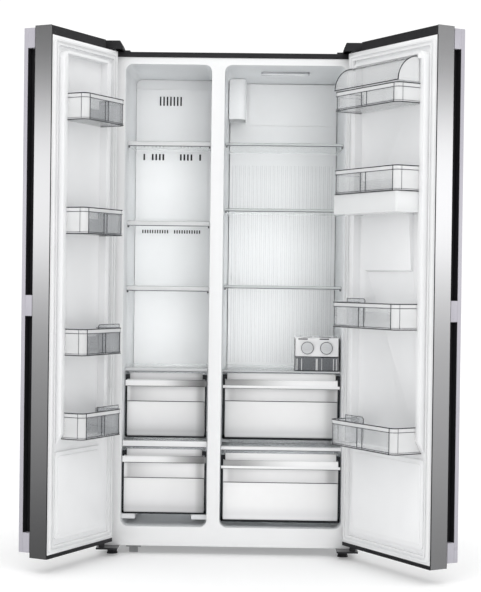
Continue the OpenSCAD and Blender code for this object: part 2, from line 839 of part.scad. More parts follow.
// Both side ridges and the head ridge of the door liner, shrunk inwards by g
module ridges(s0, s1, g = 0) {
    difference() {
        wall_prism(s0 - ridge_w + g, s1 + ridge_w - g, ridge_lo - 60 + g, ridge_hi - g, -2, ridge_h - g, 30);
        block([s0 - g, -3, 0], [s1 + g, ridge_h + 1, ridge_hi - head_ridge_w + g]);
        // sloping lower ends of the side ridges
        rotate([90, 0, 90]) translate([0, 0, s0 - 100])
            linear_extrude(s1 - s0 + 200)
                polygon([[-5, 0], [ridge_h + 5, 0], [ridge_h + 5, ridge_lo + 36 + g],
                         [-5, ridge_lo - 30 + g]]);
    }
}

// Shallow raised panel at the foot of the door liner
module foot_panel(s0, s1) {
    wall_prism(s0 - 18, s1 + 18, 110, ridge_lo - 36, -1, 6, 14);
    wall_prism(s0 - 4, s1 + 4, 124, ridge_lo - 50, -1, 8.5, 12);
}

module door_liner_plate(w) {
    block([1, -liner_t, liner_lo], [w - 1, 0, liner_hi]);
}

// Plastic inner panel with hollow ridges
module door_liner(w, s0, s1) {
    color("white") {
        difference() {
            union() {
                door_liner_plate(w);
                ridges(s0, s1);
                foot_panel(s0, s1);
            }
            intersection() {
                ridges(s0, s1, liner_t);
                block([0, -2.5, 0], [w, ridge_h, door_hi]);
            }
        }
    }
}

module door_foam(w, s0, s1) {
    color("khaki") difference() {
        union() {
            translate([0, 0, liner_lo]) linear_extrude(liner_hi - liner_lo)
                door_plan(w, sheet, 2, door_t - sheet, 6 - sheet);
            ridges(s0, s1, liner_t);
        }
        block([-1, -door_t + sheet + 6, notch_z - 40], [notch_s - 2, -4, door_hi]);
    }
}

// Ring seal that stands 0.3 mm clear of the cabinet's front when the door is shut
module door_gasket(w) {
    out_lo = [24, liner_lo + 11];
    out_hi = [w - 4, liner_hi - 13];
    color("gainsboro") difference() {
        wall_prism(out_lo[0], out_hi[0], out_lo[1], out_hi[1], 0, seal_gap - 0.3, 8);
        wall_prism(out_lo[0] + seal_w, out_hi[0] - seal_w, out_lo[1] + seal_w, out_hi[1] - seal_w,
                   -1, seal_gap, 6);
        // shallow channel between the seal's two lips
        difference() {
            wall_prism(out_lo[0] + 6, out_hi[0] - 6, out_lo[1] + 6, out_hi[1] - 6,
                       seal_gap - 4, seal_gap, 5);
            wall_prism(out_lo[0] + 12, out_hi[0] - 12, out_lo[1] + 12, out_hi[1] - 12,
                       seal_gap - 5, seal_gap + 1, 4);
        }
    }
}

bar_z = [66, 1779];
bar_t = 16;
block_z = [[66, 131], [840, 908], [1714, 1779]];

// Long bar on three stand-off blocks of one moulding
module handle_bar(w) {
    color("#c9c9d2") {
        translate([w - bar_w, -door_t - bar_out, bar_z[0]])
            linear_extrude(bar_z[1] - bar_z[0]) round_rect(bar_w, bar_t, 2.5);
        for (z = block_z)
            block([w - bar_w, -door_t - bar_out + bar_t - 1, z[0]], [w - 1.5, -door_t, z[1]]);
    }
}

// Grip channel: a black web that closes the slot behind the bar between the blocks
module handle_channel(w) {
    color("#26262b")
        for (i = [0, 1])
            block([w - bar_w, -door_t - bar_out + bar_t, block_z[i][1]],
                  [w - bar_w + 6, -door_t, block_z[i + 1][0]]);
}

// Open-topped clear bin with round front corners; row is [rim height, depth]
module door_bin(s0, s1, p, row) {
    z1 = row[0];
    z0 = z1 - row[1];
    r = 20;
    module plan(g) {
        translate([s0 + g, 1.5 + g]) square([s1 - s0 - 2 * g, p - 1.5 - r - g]);
        translate([s0 + r, 1.5 + g]) square([s1 - s0 - 2 * r, p - 1.5 - 2 * g]);
        for (x = [s0 + r, s1 - r])
            translate([x, p - r]) circle(r - g);
    }
    color("lightsteelblue") difference() {
        union() {
            translate([0, 0, z0]) linear_extrude(z1 - z0) plan(0.8);
            // thicker rim band
            translate([0, 0, z1 - 14]) linear_extrude(14) plan(0);
        }
        translate([0, 0, z0 + clear_t]) linear_extrude(z1 - z0) plan(0.8 + clear_t);
        // low back wall
        block([s0 + 12, 0, z1 - 30], [s1 - 12, 6, z1 + 1]);
    }
}

// ---------- freezer door ----------

module freezer_door_skin() {
    on_freezer_door() door_skin(freezer_door_w);
}

module freezer_door_caps() {
    on_freezer_door() door_caps(freezer_door_w);
}

module freezer_door_foam() {
    on_freezer_door() door_foam(freezer_door_w, freezer_bin_s[0], freezer_bin_s[1]);
}

module freezer_door_liner() {
    on_freezer_door() door_liner(freezer_door_w, freezer_bin_s[0], freezer_bin_s[1]);
}

module freezer_door_gasket() {
    on_freezer_door() door_gasket(freezer_door_w);
}

module freezer_handle_bar() {
    on_freezer_door() handle_bar(freezer_door_w);
}

module freezer_handle_channel() {
    on_freezer_door() handle_channel(freezer_door_w);
}

module freezer_door_bins() {
    on_freezer_door()
        for (row = freezer_bins)
            door_bin(freezer_bin_s[0], freezer_bin_s[1], freezer_bin_p, row);
}

// ---------- fridge door ----------

// Space that the dispenser's housing takes out of the skin and the foam
module dispenser_space(g = 0) {
    block([disp_s[0] - g, -door_t - 5, disp_z[0] - g], [disp_s[1] + g, -door_t + disp_d + g, disp_z[1] + g]);
}

// Slanting bulge of the liner behind the dispenser
module dispenser_bulge(g = 0) {
    rotate([90, 0, 90]) translate([0, 0, fridge_bin_s[0] + 44 + g])
        linear_extrude(260 - 2 * g)
            polygon([
                [-2, 1000 + g], [10 - g, 1004 + g], [22 - g, tank_lo - g], [-2, tank_lo - g]
            ]);
}

module fridge_door_skin() {
    on_fridge_door() difference() {
        door_skin(fridge_door_w);
        dispenser_space();
    }
}

module fridge_door_caps() {
    on_fridge_door() door_caps(fridge_door_w);
}

module fridge_door_foam() {
    on_fridge_door() difference() {
        union() {
            door_foam(fridge_door_w, fridge_bin_s[0], fridge_bin_s[1]);
            color("khaki") dispenser_bulge(liner_t);
        }
        dispenser_space();
    }
}

module fridge_door_liner() {
    s0 = fridge_bin_s[0];
    s1 = fridge_bin_s[1];
    on_fridge_door() color("white") difference() {
        union() {
            door_liner(fridge_door_w, s0, s1);
            dispenser_bulge();
            // ears for the dairy cover's pins
            for (s = [s0 - 6, s1 + 1])
                block([s, ridge_h - 1.5, cover_pin[1] - 8], [s + 5, cover_pin[0] + 6, cover_pin[1] + 8]);
        }
        dispenser_bulge(liner_t);
        translate([s0 - 4, cover_pin[0], cover_pin[1]])
            rotate([0, 90, 0]) cylinder(h = s1 - s0 + 8, r = 2.5 + run_fit);
    }
}

module fridge_door_gasket() {
    on_fridge_door() door_gasket(fridge_door_w);
}

module fridge_handle_bar() {
    on_fridge_door() handle_bar(fridge_door_w);
}

module fridge_handle_channel() {
    on_fridge_door() handle_channel(fridge_door_w);
}

module fridge_door_bins() {
    on_fridge_door()
        for (row = fridge_bins)
            door_bin(fridge_bin_s[0], fridge_bin_s[1], fridge_bin_p, row);
}

// Curved flip-up cover over the top bin, turning on two pins in the liner's ears
module dairy_cover() {
    s0 = fridge_bin_s[0] + 1;
    s1 = fridge_bin_s[1] - 1;
    centre = [fridge_bin_p - 2 - cover_r, cover_pin[1] - cover_r];
    module quarter(r) {
        intersection() {
            translate(centre) circle(r, $fn = 96);
            translate(centre) square(r + 5);
        }
    }
    on_fridge_door() color("lightsteelblue") {
        translate([s0, 0, 0]) rotate([90, 0, 90]) {
            linear_extrude(s1 - s0) difference() {
                quarter(cover_r);
                translate(centre) circle(cover_r - clear_t, $fn = 96);
            }
            for (x = [0, s1 - s0 - clear_t])
                translate([0, 0, x]) linear_extrude(clear_t) quarter(cover_r - 1);
        }
        translate([s0, cover_pin[0], cover_pin[1]])
            rotate([0, 90, 0]) cylinder(h = s1 - s0, r = 3.5);
        translate([s0 - 4, cover_pin[0], cover_pin[1]])
            rotate([0, 90, 0]) cylinder(h = s1 - s0 + 8, r = 2.5);
    }
}

module water_tank() {
    lo = [fridge_bin_s[0] + 1, 2, tank_lo];
    hi = [fridge_bin_s[1] - 1, fridge_bin_p - 1, tank_hi];
    on_fridge_door() color("white") difference() {
        translate([lo[0], lo[1], lo[2]])
            linear_extrude(hi[2] - lo[2]) round_rect(hi[0] - lo[0], hi[1] - lo[1], 8);
        block(lo + [3, 3, 3], hi - [3, 3, 3]);
        // filling hole
        translate([(lo[0] + hi[0]) / 2, hi[1] - 40, hi[2] - 5]) cylinder(h = 10, r = 20);
    }
}

// Recessed dispenser housing with a flange, a spout block and a drip tray
module dispenser_housing() {
    t = 2.5;
    lo = [disp_s[0] + 0.5, -door_t, disp_z[0] + 0.5];
    hi = [disp_s[1] - 0.5, -door_t + disp_d - 0.5, disp_z[1] - 0.5];
    pin_z = disp_z[1] - paddle_drop;
    on_fridge_door() color("#26262b") difference() {
        union() {
            block(lo, hi);
            block([disp_s[0] - 8, -door_t - 2, disp_z[0] - 8], [disp_s[1] + 8, -door_t, disp_z[1] + 8]);
        }
        difference() {
            block(lo + [t, -5, t], hi - [t, t, t]);
            // spout block with the paddle's bearing ears
            block([paddle_s - 30, -door_t + 8, pin_z - 12], [paddle_s + 30, hi[1], hi[2]]);
            // drip tray
            block([lo[0], -door_t - 5, lo[2]], [hi[0], hi[1], lo[2] + 14]);
        }
        // slot between the ears
        block([paddle_s - 14, -door_t + 5, pin_z - 15], [paddle_s + 14, hi[1] - t, pin_z + 14]);
        translate([paddle_s - 24, -door_t + paddle_back, pin_z])
            rotate([0, 90, 0]) cylinder(h = 48, r = 3 + run_fit);
        for (i = [0 : 6])
            block([disp_s[0] + 30 + i * 18, -door_t + 12, disp_z[0] + 8],
                  [disp_s[0] + 36 + i * 18, -door_t + 44, disp_z[0] + 20]);
    }
}

module dispenser_paddle() {
    x = paddle_s;
    y = -door_t + paddle_back;
    z = disp_z[1] - paddle_drop;
    on_fridge_door() color("#3a3a40") {
        translate([x - 23, y, z]) rotate([0, 90, 0]) cylinder(h = 46, r = 3);
        translate([x - 13, y, z]) rotate([0, 90, 0]) cylinder(h = 26, r = 6.5);
        block([x - 12, y - 2.5, z - 90], [x + 12, y + 2.5, z]);
        block([x - 22, y - 2.5, z - 150], [x + 22, y + 2.5, z - 80]);
    }
}

// ---------- output ----------

cabinet_shell();
back_panel();
base_frame();
cabinet_foam();
front_frame();
top_trim();
freezer_liner();
fridge_liner();
freezer_duct_cover();
fridge_duct_cover();
damper_box();
ceiling_lamp();
shelf_glass();
shelf_trims();
upper_hinges();
hinge_covers();
lower_hinges();
levelling_feet();
rear_rollers();
evaporator();
fan_motor();
evaporator_fan();
compressor();
condenser();
drain_pan();
machine_cover();
power_inlet();
freezer_upper_tub();
freezer_upper_front();
freezer_lower_tub();
freezer_lower_front();
crisper_upper_tub();
crisper_upper_front();
crisper_lower_tub();
crisper_lower_front();
ice_maker_frame();
ice_tray_left();
ice_tray_right();
ice_bin();
freezer_door_skin();
freezer_door_caps();
freezer_door_foam();
freezer_door_liner();
freezer_door_gasket();
freezer_handle_bar();
freezer_handle_channel();
freezer_door_bins();
fridge_door_skin();
fridge_door_caps();
fridge_door_foam();
fridge_door_liner();
fridge_door_gasket();
fridge_handle_bar();
fridge_handle_channel();
fridge_door_bins();
dairy_cover();
water_tank();
dispenser_housing();
dispenser_paddle();
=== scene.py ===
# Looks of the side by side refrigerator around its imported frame. Metres, in the frame's own axes.
import json
import math

import bmesh
import bpy
from mathutils import Matrix, Vector

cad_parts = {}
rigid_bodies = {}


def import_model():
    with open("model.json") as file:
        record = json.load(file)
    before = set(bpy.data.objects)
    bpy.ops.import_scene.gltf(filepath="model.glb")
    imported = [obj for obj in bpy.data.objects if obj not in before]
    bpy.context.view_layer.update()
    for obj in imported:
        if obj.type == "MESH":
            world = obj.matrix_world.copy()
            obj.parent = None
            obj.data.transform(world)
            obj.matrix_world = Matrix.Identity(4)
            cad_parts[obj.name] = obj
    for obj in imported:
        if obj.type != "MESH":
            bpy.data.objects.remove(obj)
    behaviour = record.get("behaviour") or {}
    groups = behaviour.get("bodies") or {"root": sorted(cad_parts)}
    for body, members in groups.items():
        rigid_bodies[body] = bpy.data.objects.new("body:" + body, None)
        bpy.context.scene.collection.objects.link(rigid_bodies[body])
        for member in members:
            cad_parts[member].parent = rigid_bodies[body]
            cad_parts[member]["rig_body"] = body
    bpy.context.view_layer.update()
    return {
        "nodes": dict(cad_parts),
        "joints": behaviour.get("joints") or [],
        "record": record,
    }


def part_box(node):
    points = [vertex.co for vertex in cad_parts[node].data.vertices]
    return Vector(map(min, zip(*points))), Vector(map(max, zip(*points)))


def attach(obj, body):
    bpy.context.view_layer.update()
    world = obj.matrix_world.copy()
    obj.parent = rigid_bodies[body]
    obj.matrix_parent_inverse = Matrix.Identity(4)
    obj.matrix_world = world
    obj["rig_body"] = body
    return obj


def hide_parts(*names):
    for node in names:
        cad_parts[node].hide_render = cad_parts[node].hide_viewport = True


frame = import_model()
N = frame["nodes"]
JOINTS = {j["name"]: j for j in frame["joints"]}


SIDES = ("freezer", "fridge")

# ---------- doors' own coordinates: s from the hinge side, p from the inner face inwards, z up ----------
PIN = (0.0184, -0.032)      # s and p of the hinge pin


def door_frame(side):
    j = JOINTS[side + "_door_hinge"]
    a = math.radians(-j["range_deg"][0]) * (-1 if side == "freezer" else 1)
    turn = Matrix.Rotation(a, 4, "Z")
    flip = Matrix.Identity(4) if side == "freezer" else Matrix.Scale(-1, 4, (1, 0, 0))
    pos = Vector((j["pos_m"][0], j["pos_m"][1], 0))
    return Matrix.Translation(pos) @ turn @ flip @ Matrix.Translation((-PIN[0], -PIN[1], 0))


DOOR = {side: door_frame(side) for side in SIDES}


# ---------- material building blocks ----------
def node_mat(name):
    m = bpy.data.materials.new(name)
    m.use_nodes = True
    nt = m.node_tree
    return m, nt, nt.nodes["Principled BSDF"]


def coords(nt, scale):
    tc = nt.nodes.new("ShaderNodeTexCoord")
    mp = nt.nodes.new("ShaderNodeMapping")
    mp.inputs["Scale"].default_value = scale
    nt.links.new(tc.outputs["Object"], mp.inputs["Vector"])
    return mp.outputs["Vector"]


def noise(nt, scale, detail=3.0, rough=0.5, stretch=(1, 1, 1)):
    n = nt.nodes.new("ShaderNodeTexNoise")
    n.inputs["Scale"].default_value = scale
    n.inputs["Detail"].default_value = detail
    n.inputs["Roughness"].default_value = rough
    nt.links.new(coords(nt, stretch), n.inputs["Vector"])
    return n.outputs["Fac"]


def ramp(nt, fac, a, b, lo=0.3, hi=0.7):
    r = nt.nodes.new("ShaderNodeValToRGB")
    r.color_ramp.elements[0].position = lo
    r.color_ramp.elements[1].position = hi
    r.color_ramp.elements[0].color = (*a, 1)
    r.color_ramp.elements[1].color = (*b, 1)
    nt.links.new(fac, r.inputs["Fac"])
    return r.outputs["Color"]


def spread(nt, fac, lo, hi):
    m = nt.nodes.new("ShaderNodeMapRange")
    m.inputs["From Min"].default_value = 0.3
    m.inputs["From Max"].default_value = 0.7
    m.inputs["To Min"].default_value = lo
    m.inputs["To Max"].default_value = hi
    nt.links.new(fac, m.inputs["Value"])
    return m.outputs["Result"]


def bump(nt, bsdf, height, strength, distance):
    b = nt.nodes.new("ShaderNodeBump")
    b.inputs["Strength"].default_value = strength
    b.inputs["Distance"].default_value = distance
    nt.links.new(height, b.inputs["Height"])
    nt.links.new(b.outputs["Normal"], bsdf.inputs["Normal"])


def shade(c, k):
    return tuple(min(1.0, v * k) for v in c)


def gradient(nt, axis, stops, tint=(1, 1, 1)):
    """Grey steps along one axis of a piece's own box, from 0 to 1."""
    sep = nt.nodes.new("ShaderNodeSeparateXYZ")
    nt.links.new(nt.nodes.new("ShaderNodeTexCoord").outputs["Generated"], sep.inputs[0])
    r = nt.nodes.new("ShaderNodeValToRGB")
    r.color_ramp.interpolation = "B_SPLINE"
    els = r.color_ramp.elements
    while len(els) < len(stops):
        els.new(0.5)
    for e, (pos, v) in zip(els, stops):
        e.position = pos
        e.color = (*shade(tint, v), 1)
    nt.links.new(sep.outputs[axis], r.inputs["Fac"])
    return r.outputs["Color"]


def multiply(nt, a, b):
    m = nt.nodes.new("ShaderNodeMix")
    m.data_type = "RGBA"
    m.blend_type = "MULTIPLY"
    m.inputs["Factor"].default_value = 1.0
    nt.links.new(a, m.inputs["A"])
    nt.links.new(b, m.inputs["B"])
    return m.outputs["Result"]


def plastic(name, color, rough, grain=600.0, depth=0.15, vary=0.02, coat=0.0, spec=0.5):
    m, nt, b = node_mat(name)
    n = noise(nt, 9.0, 4.0)
    nt.links.new(ramp(nt, n, shade(color, 1 - vary), shade(color, 1 + vary)), b.inputs["Base Color"])
    nt.links.new(spread(nt, noise(nt, 40.0, 3.0), rough * 0.88, rough * 1.12), b.inputs["Roughness"])
    bump(nt, b, noise(nt, grain, 2.0), depth, 0.0002)
    b.inputs["Specular IOR Level"].default_value = spec
    b.inputs["Coat Weight"].default_value = coat
    b.inputs["Coat Roughness"].default_value = 0.08
    return m


def steel(name, color, rough, stretch, depth=0.12):
    m, nt, b = node_mat(name)
    b.inputs["Metallic"].default_value = 1.0
    grain = noise(nt, 1.0, 5.0, 0.65, stretch)
    nt.links.new(ramp(nt, grain, shade(color, 0.975), shade(color, 1.02)), b.inputs["Base Color"])
    nt.links.new(spread(nt, grain, rough * 0.92, rough * 1.1), b.inputs["Roughness"])
    bump(nt, b, grain, depth, 0.0003)
    b.inputs["Anisotropic"].default_value = 0.4
    return m


def clear(name, color, rough, alpha, spec=0.8, coat=0.6):
    m, nt, b = node_mat(name)
    nt.links.new(ramp(nt, noise(nt, 14.0, 3.0), shade(color, 0.97), color), b.inputs["Base Color"])
    nt.links.new(spread(nt, noise(nt, 60.0, 3.0), rough * 0.8, rough * 1.3), b.inputs["Roughness"])
    bump(nt, b, noise(nt, 25.0, 1.0), 0.02, 0.0003)
    b.inputs["Alpha"].default_value = alpha
    b.inputs["Specular IOR Level"].default_value = spec
    b.inputs["Coat Weight"].default_value = coat
    b.inputs["Coat Roughness"].default_value = 0.03
    return m


def painted_shading(name, x_stops, z_stops, rough, alpha=1.0, coat=0.3):
    """Moulded finish with painted shade and painted reflections: its shade changes along the piece's width
    and height.
    """
    m, nt, b = node_mat(name)
    color = multiply(nt, gradient(nt, "X", x_stops), gradient(nt, "Z", z_stops, (1.0, 1.0, 1.01)))
    fine = ramp(nt, noise(nt, 30.0, 3.0), (0.985, 0.985, 0.985), (1, 1, 1))
    nt.links.new(multiply(nt, color, fine), b.inputs["Base Color"])
    nt.links.new(spread(nt, noise(nt, 50.0, 3.0), rough * 0.9, rough * 1.15), b.inputs["Roughness"])
    bump(nt, b, noise(nt, 160.0, 2.0), 0.05, 0.0002)
    b.inputs["Alpha"].default_value = alpha
    b.inputs["Coat Weight"].default_value = coat
    b.inputs["Coat Roughness"].default_value = 0.05
    return m


M = {
    "stainless": steel("stainless", (0.60, 0.60, 0.61), 0.22, (2, 2, 1400), 0.04),
    "cabinet_paint": plastic("cabinet_paint", (0.36, 0.37, 0.385), 0.38, 260.0, 0.25),
    "galvanised": steel("galvanised", (0.62, 0.63, 0.64), 0.42, (60, 60, 60), 0.2),
    "white_enamel": plastic("white_enamel", (0.88, 0.885, 0.89), 0.22, 90.0, 0.08, 0.01),
    "white_liner": plastic("white_liner", (0.885, 0.89, 0.897), 0.32, 220.0, 0.10, 0.012),
    "white_plastic": plastic("white_plastic", (0.88, 0.882, 0.888), 0.18, 160.0, 0.06, 0.01, 0.3),
    "insulation": plastic("insulation", (0.80, 0.70, 0.42), 0.85, 300.0, 0.8, 0.08),
    "clear_plastic": clear("clear_plastic", (0.60, 0.625, 0.65), 0.06, 0.30),
    "shelf_glass": clear("shelf_glass", (0.70, 0.77, 0.755), 0.03, 0.30),
    "lamp_lens": plastic("lamp_lens", (0.93, 0.94, 0.96), 0.12, 200.0, 0.08, 0.01),
    "handle_silver": plastic("handle_silver", (0.46, 0.447, 0.495), 0.30, 700.0, 0.18, 0.02, 0.4),
    "black_plastic": plastic("black_plastic", (0.016, 0.016, 0.018), 0.42, 900.0, 0.3, 0.15, 0.0, 0.3),
    "black_steel": plastic("black_steel", (0.025, 0.025, 0.028), 0.34, 200.0, 0.2, 0.12, 0.3),
    "seal_rubber": plastic("seal_rubber", (0.80, 0.805, 0.81), 0.6, 500.0, 0.3, 0.03),
    "roller_plastic": plastic("roller_plastic", (0.04, 0.04, 0.042), 0.6, 500.0, 0.3, 0.1),
    "coil_aluminium": steel("coil_aluminium", (0.74, 0.75, 0.76), 0.35, (40, 40, 40), 0.15),
    "grey_plastic": plastic("grey_plastic", (0.22, 0.225, 0.235), 0.5, 600.0, 0.3, 0.05),
}
# finishes of parts that a CAD slot has no name for
# dark outlines along the edges of the clear bins and dairy cover, painted dark reflections in their thick
# clear edges, and round the ice maker's front, painted shade
PAINTED_DARK_OUTLINE = clear("clear_edge", (0.03, 0.032, 0.038), 0.12, 0.94, 0.3, 0.1)
# dark translucent lines: painted shade under the bins' rims, at their feet and corners, along the shelf
# trims' edges and round the ice knobs; also the upright lines on the bins' fronts and the shelf trims' dark
# brackets
SHADE_LINES_AND_BRACKETS = clear("painted_shade_lines_and_brackets", (0.12, 0.125, 0.14), 0.12, 0.70, 0.4, 0.1)
# whitish sheet on the rounded ends of the clear bins and the dairy cover: a painted highlight
PAINTED_END_HIGHLIGHT = clear("painted_end_highlight", (0.93, 0.935, 0.94), 0.16, 0.55, 0.6, 0.5)
RIM = clear("bin_rim", (0.88, 0.885, 0.89), 0.12, 0.70, 0.6, 0.5)
# dark smoky finish: the ice bin's smoked face, and a painted reflection on the dairy cover
SMOKE_AND_PAINTED_REFLECTION = clear("smoked_plastic_and_painted_reflection", (0.16, 0.17, 0.185), 0.06, 0.66)
TRIM_CLEAR = clear("trim_clear", (0.92, 0.925, 0.93), 0.12, 0.72, 0.5, 0.3)
TRIM_GLASS = clear("trim_glass", (0.74, 0.77, 0.77), 0.06, 0.72, 0.6, 0.4)
COVER_CLEAR = clear("cover_clear", (0.84, 0.855, 0.865), 0.05, 0.20)
RIB_PAINTED_SHADE = clear("rib_painted_shade", (0.58, 0.59, 0.58), 0.4, 0.15, 0.3, 0.0)
PEARL = plastic("pearl_grey", (0.66, 0.67, 0.68), 0.2, 160.0, 0.06, 0.01, 0.3)
# painted shade and painted reflections along the width and up the height of each drawer's milky panel: darker
# ends, a darker band low down, a brighter middle
MILK_PAINTED_SHADE_STOPS = {
    "freezer_upper": (((0, 0.80), (0.04, 0.95), (0.12, 1.0), (0.4, 0.97), (0.7, 0.90), (0.88, 0.86),
                       (0.925, 0.60), (0.97, 0.50), (1, 0.40)),
                      ((0, 0.50), (0.05, 0.84), (0.13, 0.68), (0.22, 0.80), (0.40, 0.93), (0.7, 1.0),
                       (0.96, 1.0), (1, 0.97))),
    "freezer_lower": (((0, 0.80), (0.04, 0.95), (0.12, 1.0), (0.4, 0.95), (0.7, 0.86), (0.88, 0.82),
                       (0.925, 0.56), (0.97, 0.50), (1, 0.40)),
                      ((0, 0.50), (0.05, 0.76), (0.13, 0.68), (0.24, 0.86), (0.40, 0.95), (0.7, 1.0),
                       (0.96, 1.0), (1, 0.97))),
    "crisper_upper": (((0, 0.80), (0.04, 0.92), (0.15, 0.90), (0.35, 0.95), (0.6, 1.0), (0.8, 0.98),
                       (0.87, 0.92), (0.915, 0.70), (1, 0.45)),
                      ((0, 0.58), (0.05, 0.92), (0.13, 0.82), (0.22, 0.90), (0.38, 1.0), (0.7, 1.0),
                       (0.96, 1.0), (1, 0.97))),
    "crisper_lower": (((0, 0.90), (0.04, 0.96), (0.2, 1.0), (0.5, 1.0), (0.8, 0.97), (0.9, 0.92),
                       (0.95, 0.86), (1, 0.75)),
                      ((0, 0.62), (0.05, 0.97), (0.13, 0.86), (0.22, 0.90), (0.38, 1.0), (0.7, 1.0),
                       (0.96, 1.0), (1, 0.97))),
}
MILK_PAINTED_SHADE = {name: painted_shading("milky_painted_shade_" + name, *stops, 0.16, coat=0.6) for name, stops in MILK_PAINTED_SHADE_STOPS.items()}
# the drawers' windows: painted highlights in upright bands, and painted shade at their ends and at their top,
# under the grip
WINDOW_PAINTED_LIGHT = painted_shading("drawer_window",
                ((0, 1.0), (0.03, 0.95), (0.05, 0.66), (0.10, 0.76), (0.25, 0.90), (0.40, 1.0), (0.62, 0.97),
                 (0.80, 0.98), (0.88, 0.90), (0.92, 0.55), (0.97, 0.52), (1, 0.8)),
                ((0, 0.88), (0.5, 1.0), (0.85, 0.97), (0.95, 0.72), (1, 0.40)), 0.08, alpha=0.92, coat=0.7)
# grip bars: a painted reflection runs along each, bright at one end and dark at the other
GRIP_PAINTED_REFLECTION = {
    "freezer": painted_shading("freezer_grip",
                      ((0, 1.0), (0.3, 1.0), (0.5, 0.95), (0.64, 0.62), (0.78, 0.36), (0.9, 0.20),
                       (0.97, 0.12), (1, 0.3)),
                      ((0, 1.0), (0.35, 1.0), (0.8, 0.98), (1, 0.85)), 0.24),
    "crisper": painted_shading("crisper_grip",
                      ((0, 0.34), (0.10, 0.30), (0.22, 0.42), (0.38, 0.70), (0.55, 0.92), (0.75, 1.0),
                       (1, 1.0)),
                      ((0, 0.97), (0.4, 1.0), (1, 1.0)), 0.24),
}
# upper edges of the tubs: painted shade, darker at their ends and lower down
TUB_TOP_PAINTED_SHADE = {
    "freezer": painted_shading("freezer_tub_top",
                      ((0, 0.6), (0.06, 0.92), (0.5, 0.95), (0.9, 0.9), (0.97, 0.5), (1, 0.4)),
                      ((0, 0.82), (0.4, 0.80), (0.6, 0.96), (1, 0.98)), 0.14, alpha=0.90, coat=0.6),
    "crisper": painted_shading("crisper_tub_top",
                      ((0, 0.7), (0.08, 0.85), (0.3, 1.0), (0.7, 1.0), (0.92, 0.95), (1, 0.7)),
                      ((0, 0.95), (0.4, 0.98), (0.6, 1.0), (1, 1.0)), 0.14, alpha=0.94, coat=0.6),
}
# dark finish of the drawers' painted gap shadows and painted shade lines, and of their clips
GAP_SHADOW_AND_CLIPS = clear("painted_gap_shadow_and_clips", (0.02, 0.022, 0.026), 0.2, 0.96, 0.3, 0.1)
# greyer copy of the white liner for the cavity walls: painted shade
LINER_PAINTED_SHADE = plastic("liner_painted_shade", (0.79, 0.802, 0.815), 0.34, 220.0, 0.01, 0.004)
# clear bins tinted per door: darker on the freezer door, painted shade; lighter on the fridge door, painted
# light
BIN_CLEAR_LIGHT_AND_SHADE = {"freezer": clear("freezer_bin_clear_painted_shade", (0.48, 0.495, 0.51), 0.06, 0.33),
             "fridge": clear("fridge_bin_clear_painted_light", (0.80, 0.815, 0.825), 0.06, 0.27)}
LAMP_RIM = plastic("lamp_rim", (0.42, 0.43, 0.45), 0.3, 160.0, 0.06, 0.01)
LIP_WHITE = plastic("lip_white", (0.98, 0.98, 0.985), 0.16, 160.0, 0.03, 0.005, 0.5)
TANK_WHITE = plastic("tank_white", (0.76, 0.77, 0.775), 0.22, 160.0, 0.06, 0.01, 0.3)
SLOT = {s["node"]: s["material_slot"] for s in frame["record"]["subparts"]}


def dress(obj, material):
    obj.data.materials.clear()
    obj.data.materials.append(material)


for name, obj in N.items():
    dress(obj, M[SLOT[name]])


# ---------- piece helpers ----------
WELD = 2e-6     # distance at which a mesh's vertices count as one


def finish_piece(obj, body, nodes=()):
    bpy.context.view_layer.update()
    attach(obj, body)
    if nodes:
        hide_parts(*nodes)
    return obj


def link(mesh, name):
    o = bpy.data.objects.new(name, mesh)
    bpy.context.scene.collection.objects.link(o)
    return o


def apply_all(obj):
    deps = bpy.context.evaluated_depsgraph_get()
    mesh = bpy.data.meshes.new_from_object(obj.evaluated_get(deps))
    old = obj.data
    obj.modifiers.clear()
    obj.data = mesh
    bpy.data.meshes.remove(old)


def round_edges(o, width, segments):
    mod = o.modifiers.new("round", "BEVEL")
    mod.width = width
    mod.segments = segments
    mod.limit_method = "ANGLE"
    mod.angle_limit = math.radians(32)
    mod.harden_normals = True
    mod.miter_outer = "MITER_ARC"
    for poly in o.data.polygons:
        poly.use_smooth = True
    apply_all(o)


def soften(node, width, segments=3):
    """A copy of a CAD node with rounded edges that stands for it."""
    src = N[node]
    mesh = src.data.copy()
    bm = bmesh.new()
    bm.from_mesh(mesh)
    bmesh.ops.remove_doubles(bm, verts=bm.verts, dist=WELD)
    bmesh.ops.dissolve_limit(bm, angle_limit=math.radians(1.0), verts=bm.verts, edges=bm.edges)
    bm.to_mesh(mesh)
    bm.free()
    o = link(mesh, "soft_" + node)
    round_edges(o, width, segments)
    dress(o, M[SLOT[node]])
    return finish_piece(o, src["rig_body"], [node])


def islands(node, inverse=None):
    """Corners (lowest, highest) of each separate solid of a node, in world or door coordinates."""
    bm = bmesh.new()
    bm.from_mesh(N[node].data)
    bmesh.ops.remove_doubles(bm, verts=bm.verts, dist=WELD)
    if inverse:
        bm.transform(inverse)
    left = set(bm.verts)
    out = []
    while left:
        stack = [left.pop()]
        group = list(stack)
        while stack:
            for e in stack.pop().link_edges:
                for v in e.verts:
                    if v in left:
                        left.discard(v)
                        stack.append(v)
                        group.append(v)
        out.append(tuple(Vector([f(v.co[k] for v in group) for k in range(3)]) for f in (min, max)))
    bm.free()
    return sorted(out, key=lambda b: -b[1].z)


# where the point (a, b) of an outline goes at the place t along each axis
PLACE = {"X": lambda a, b, t: (t, a, b), "Y": lambda a, b, t: (a, t, b), "Z": lambda a, b, t: (a, b, t)}


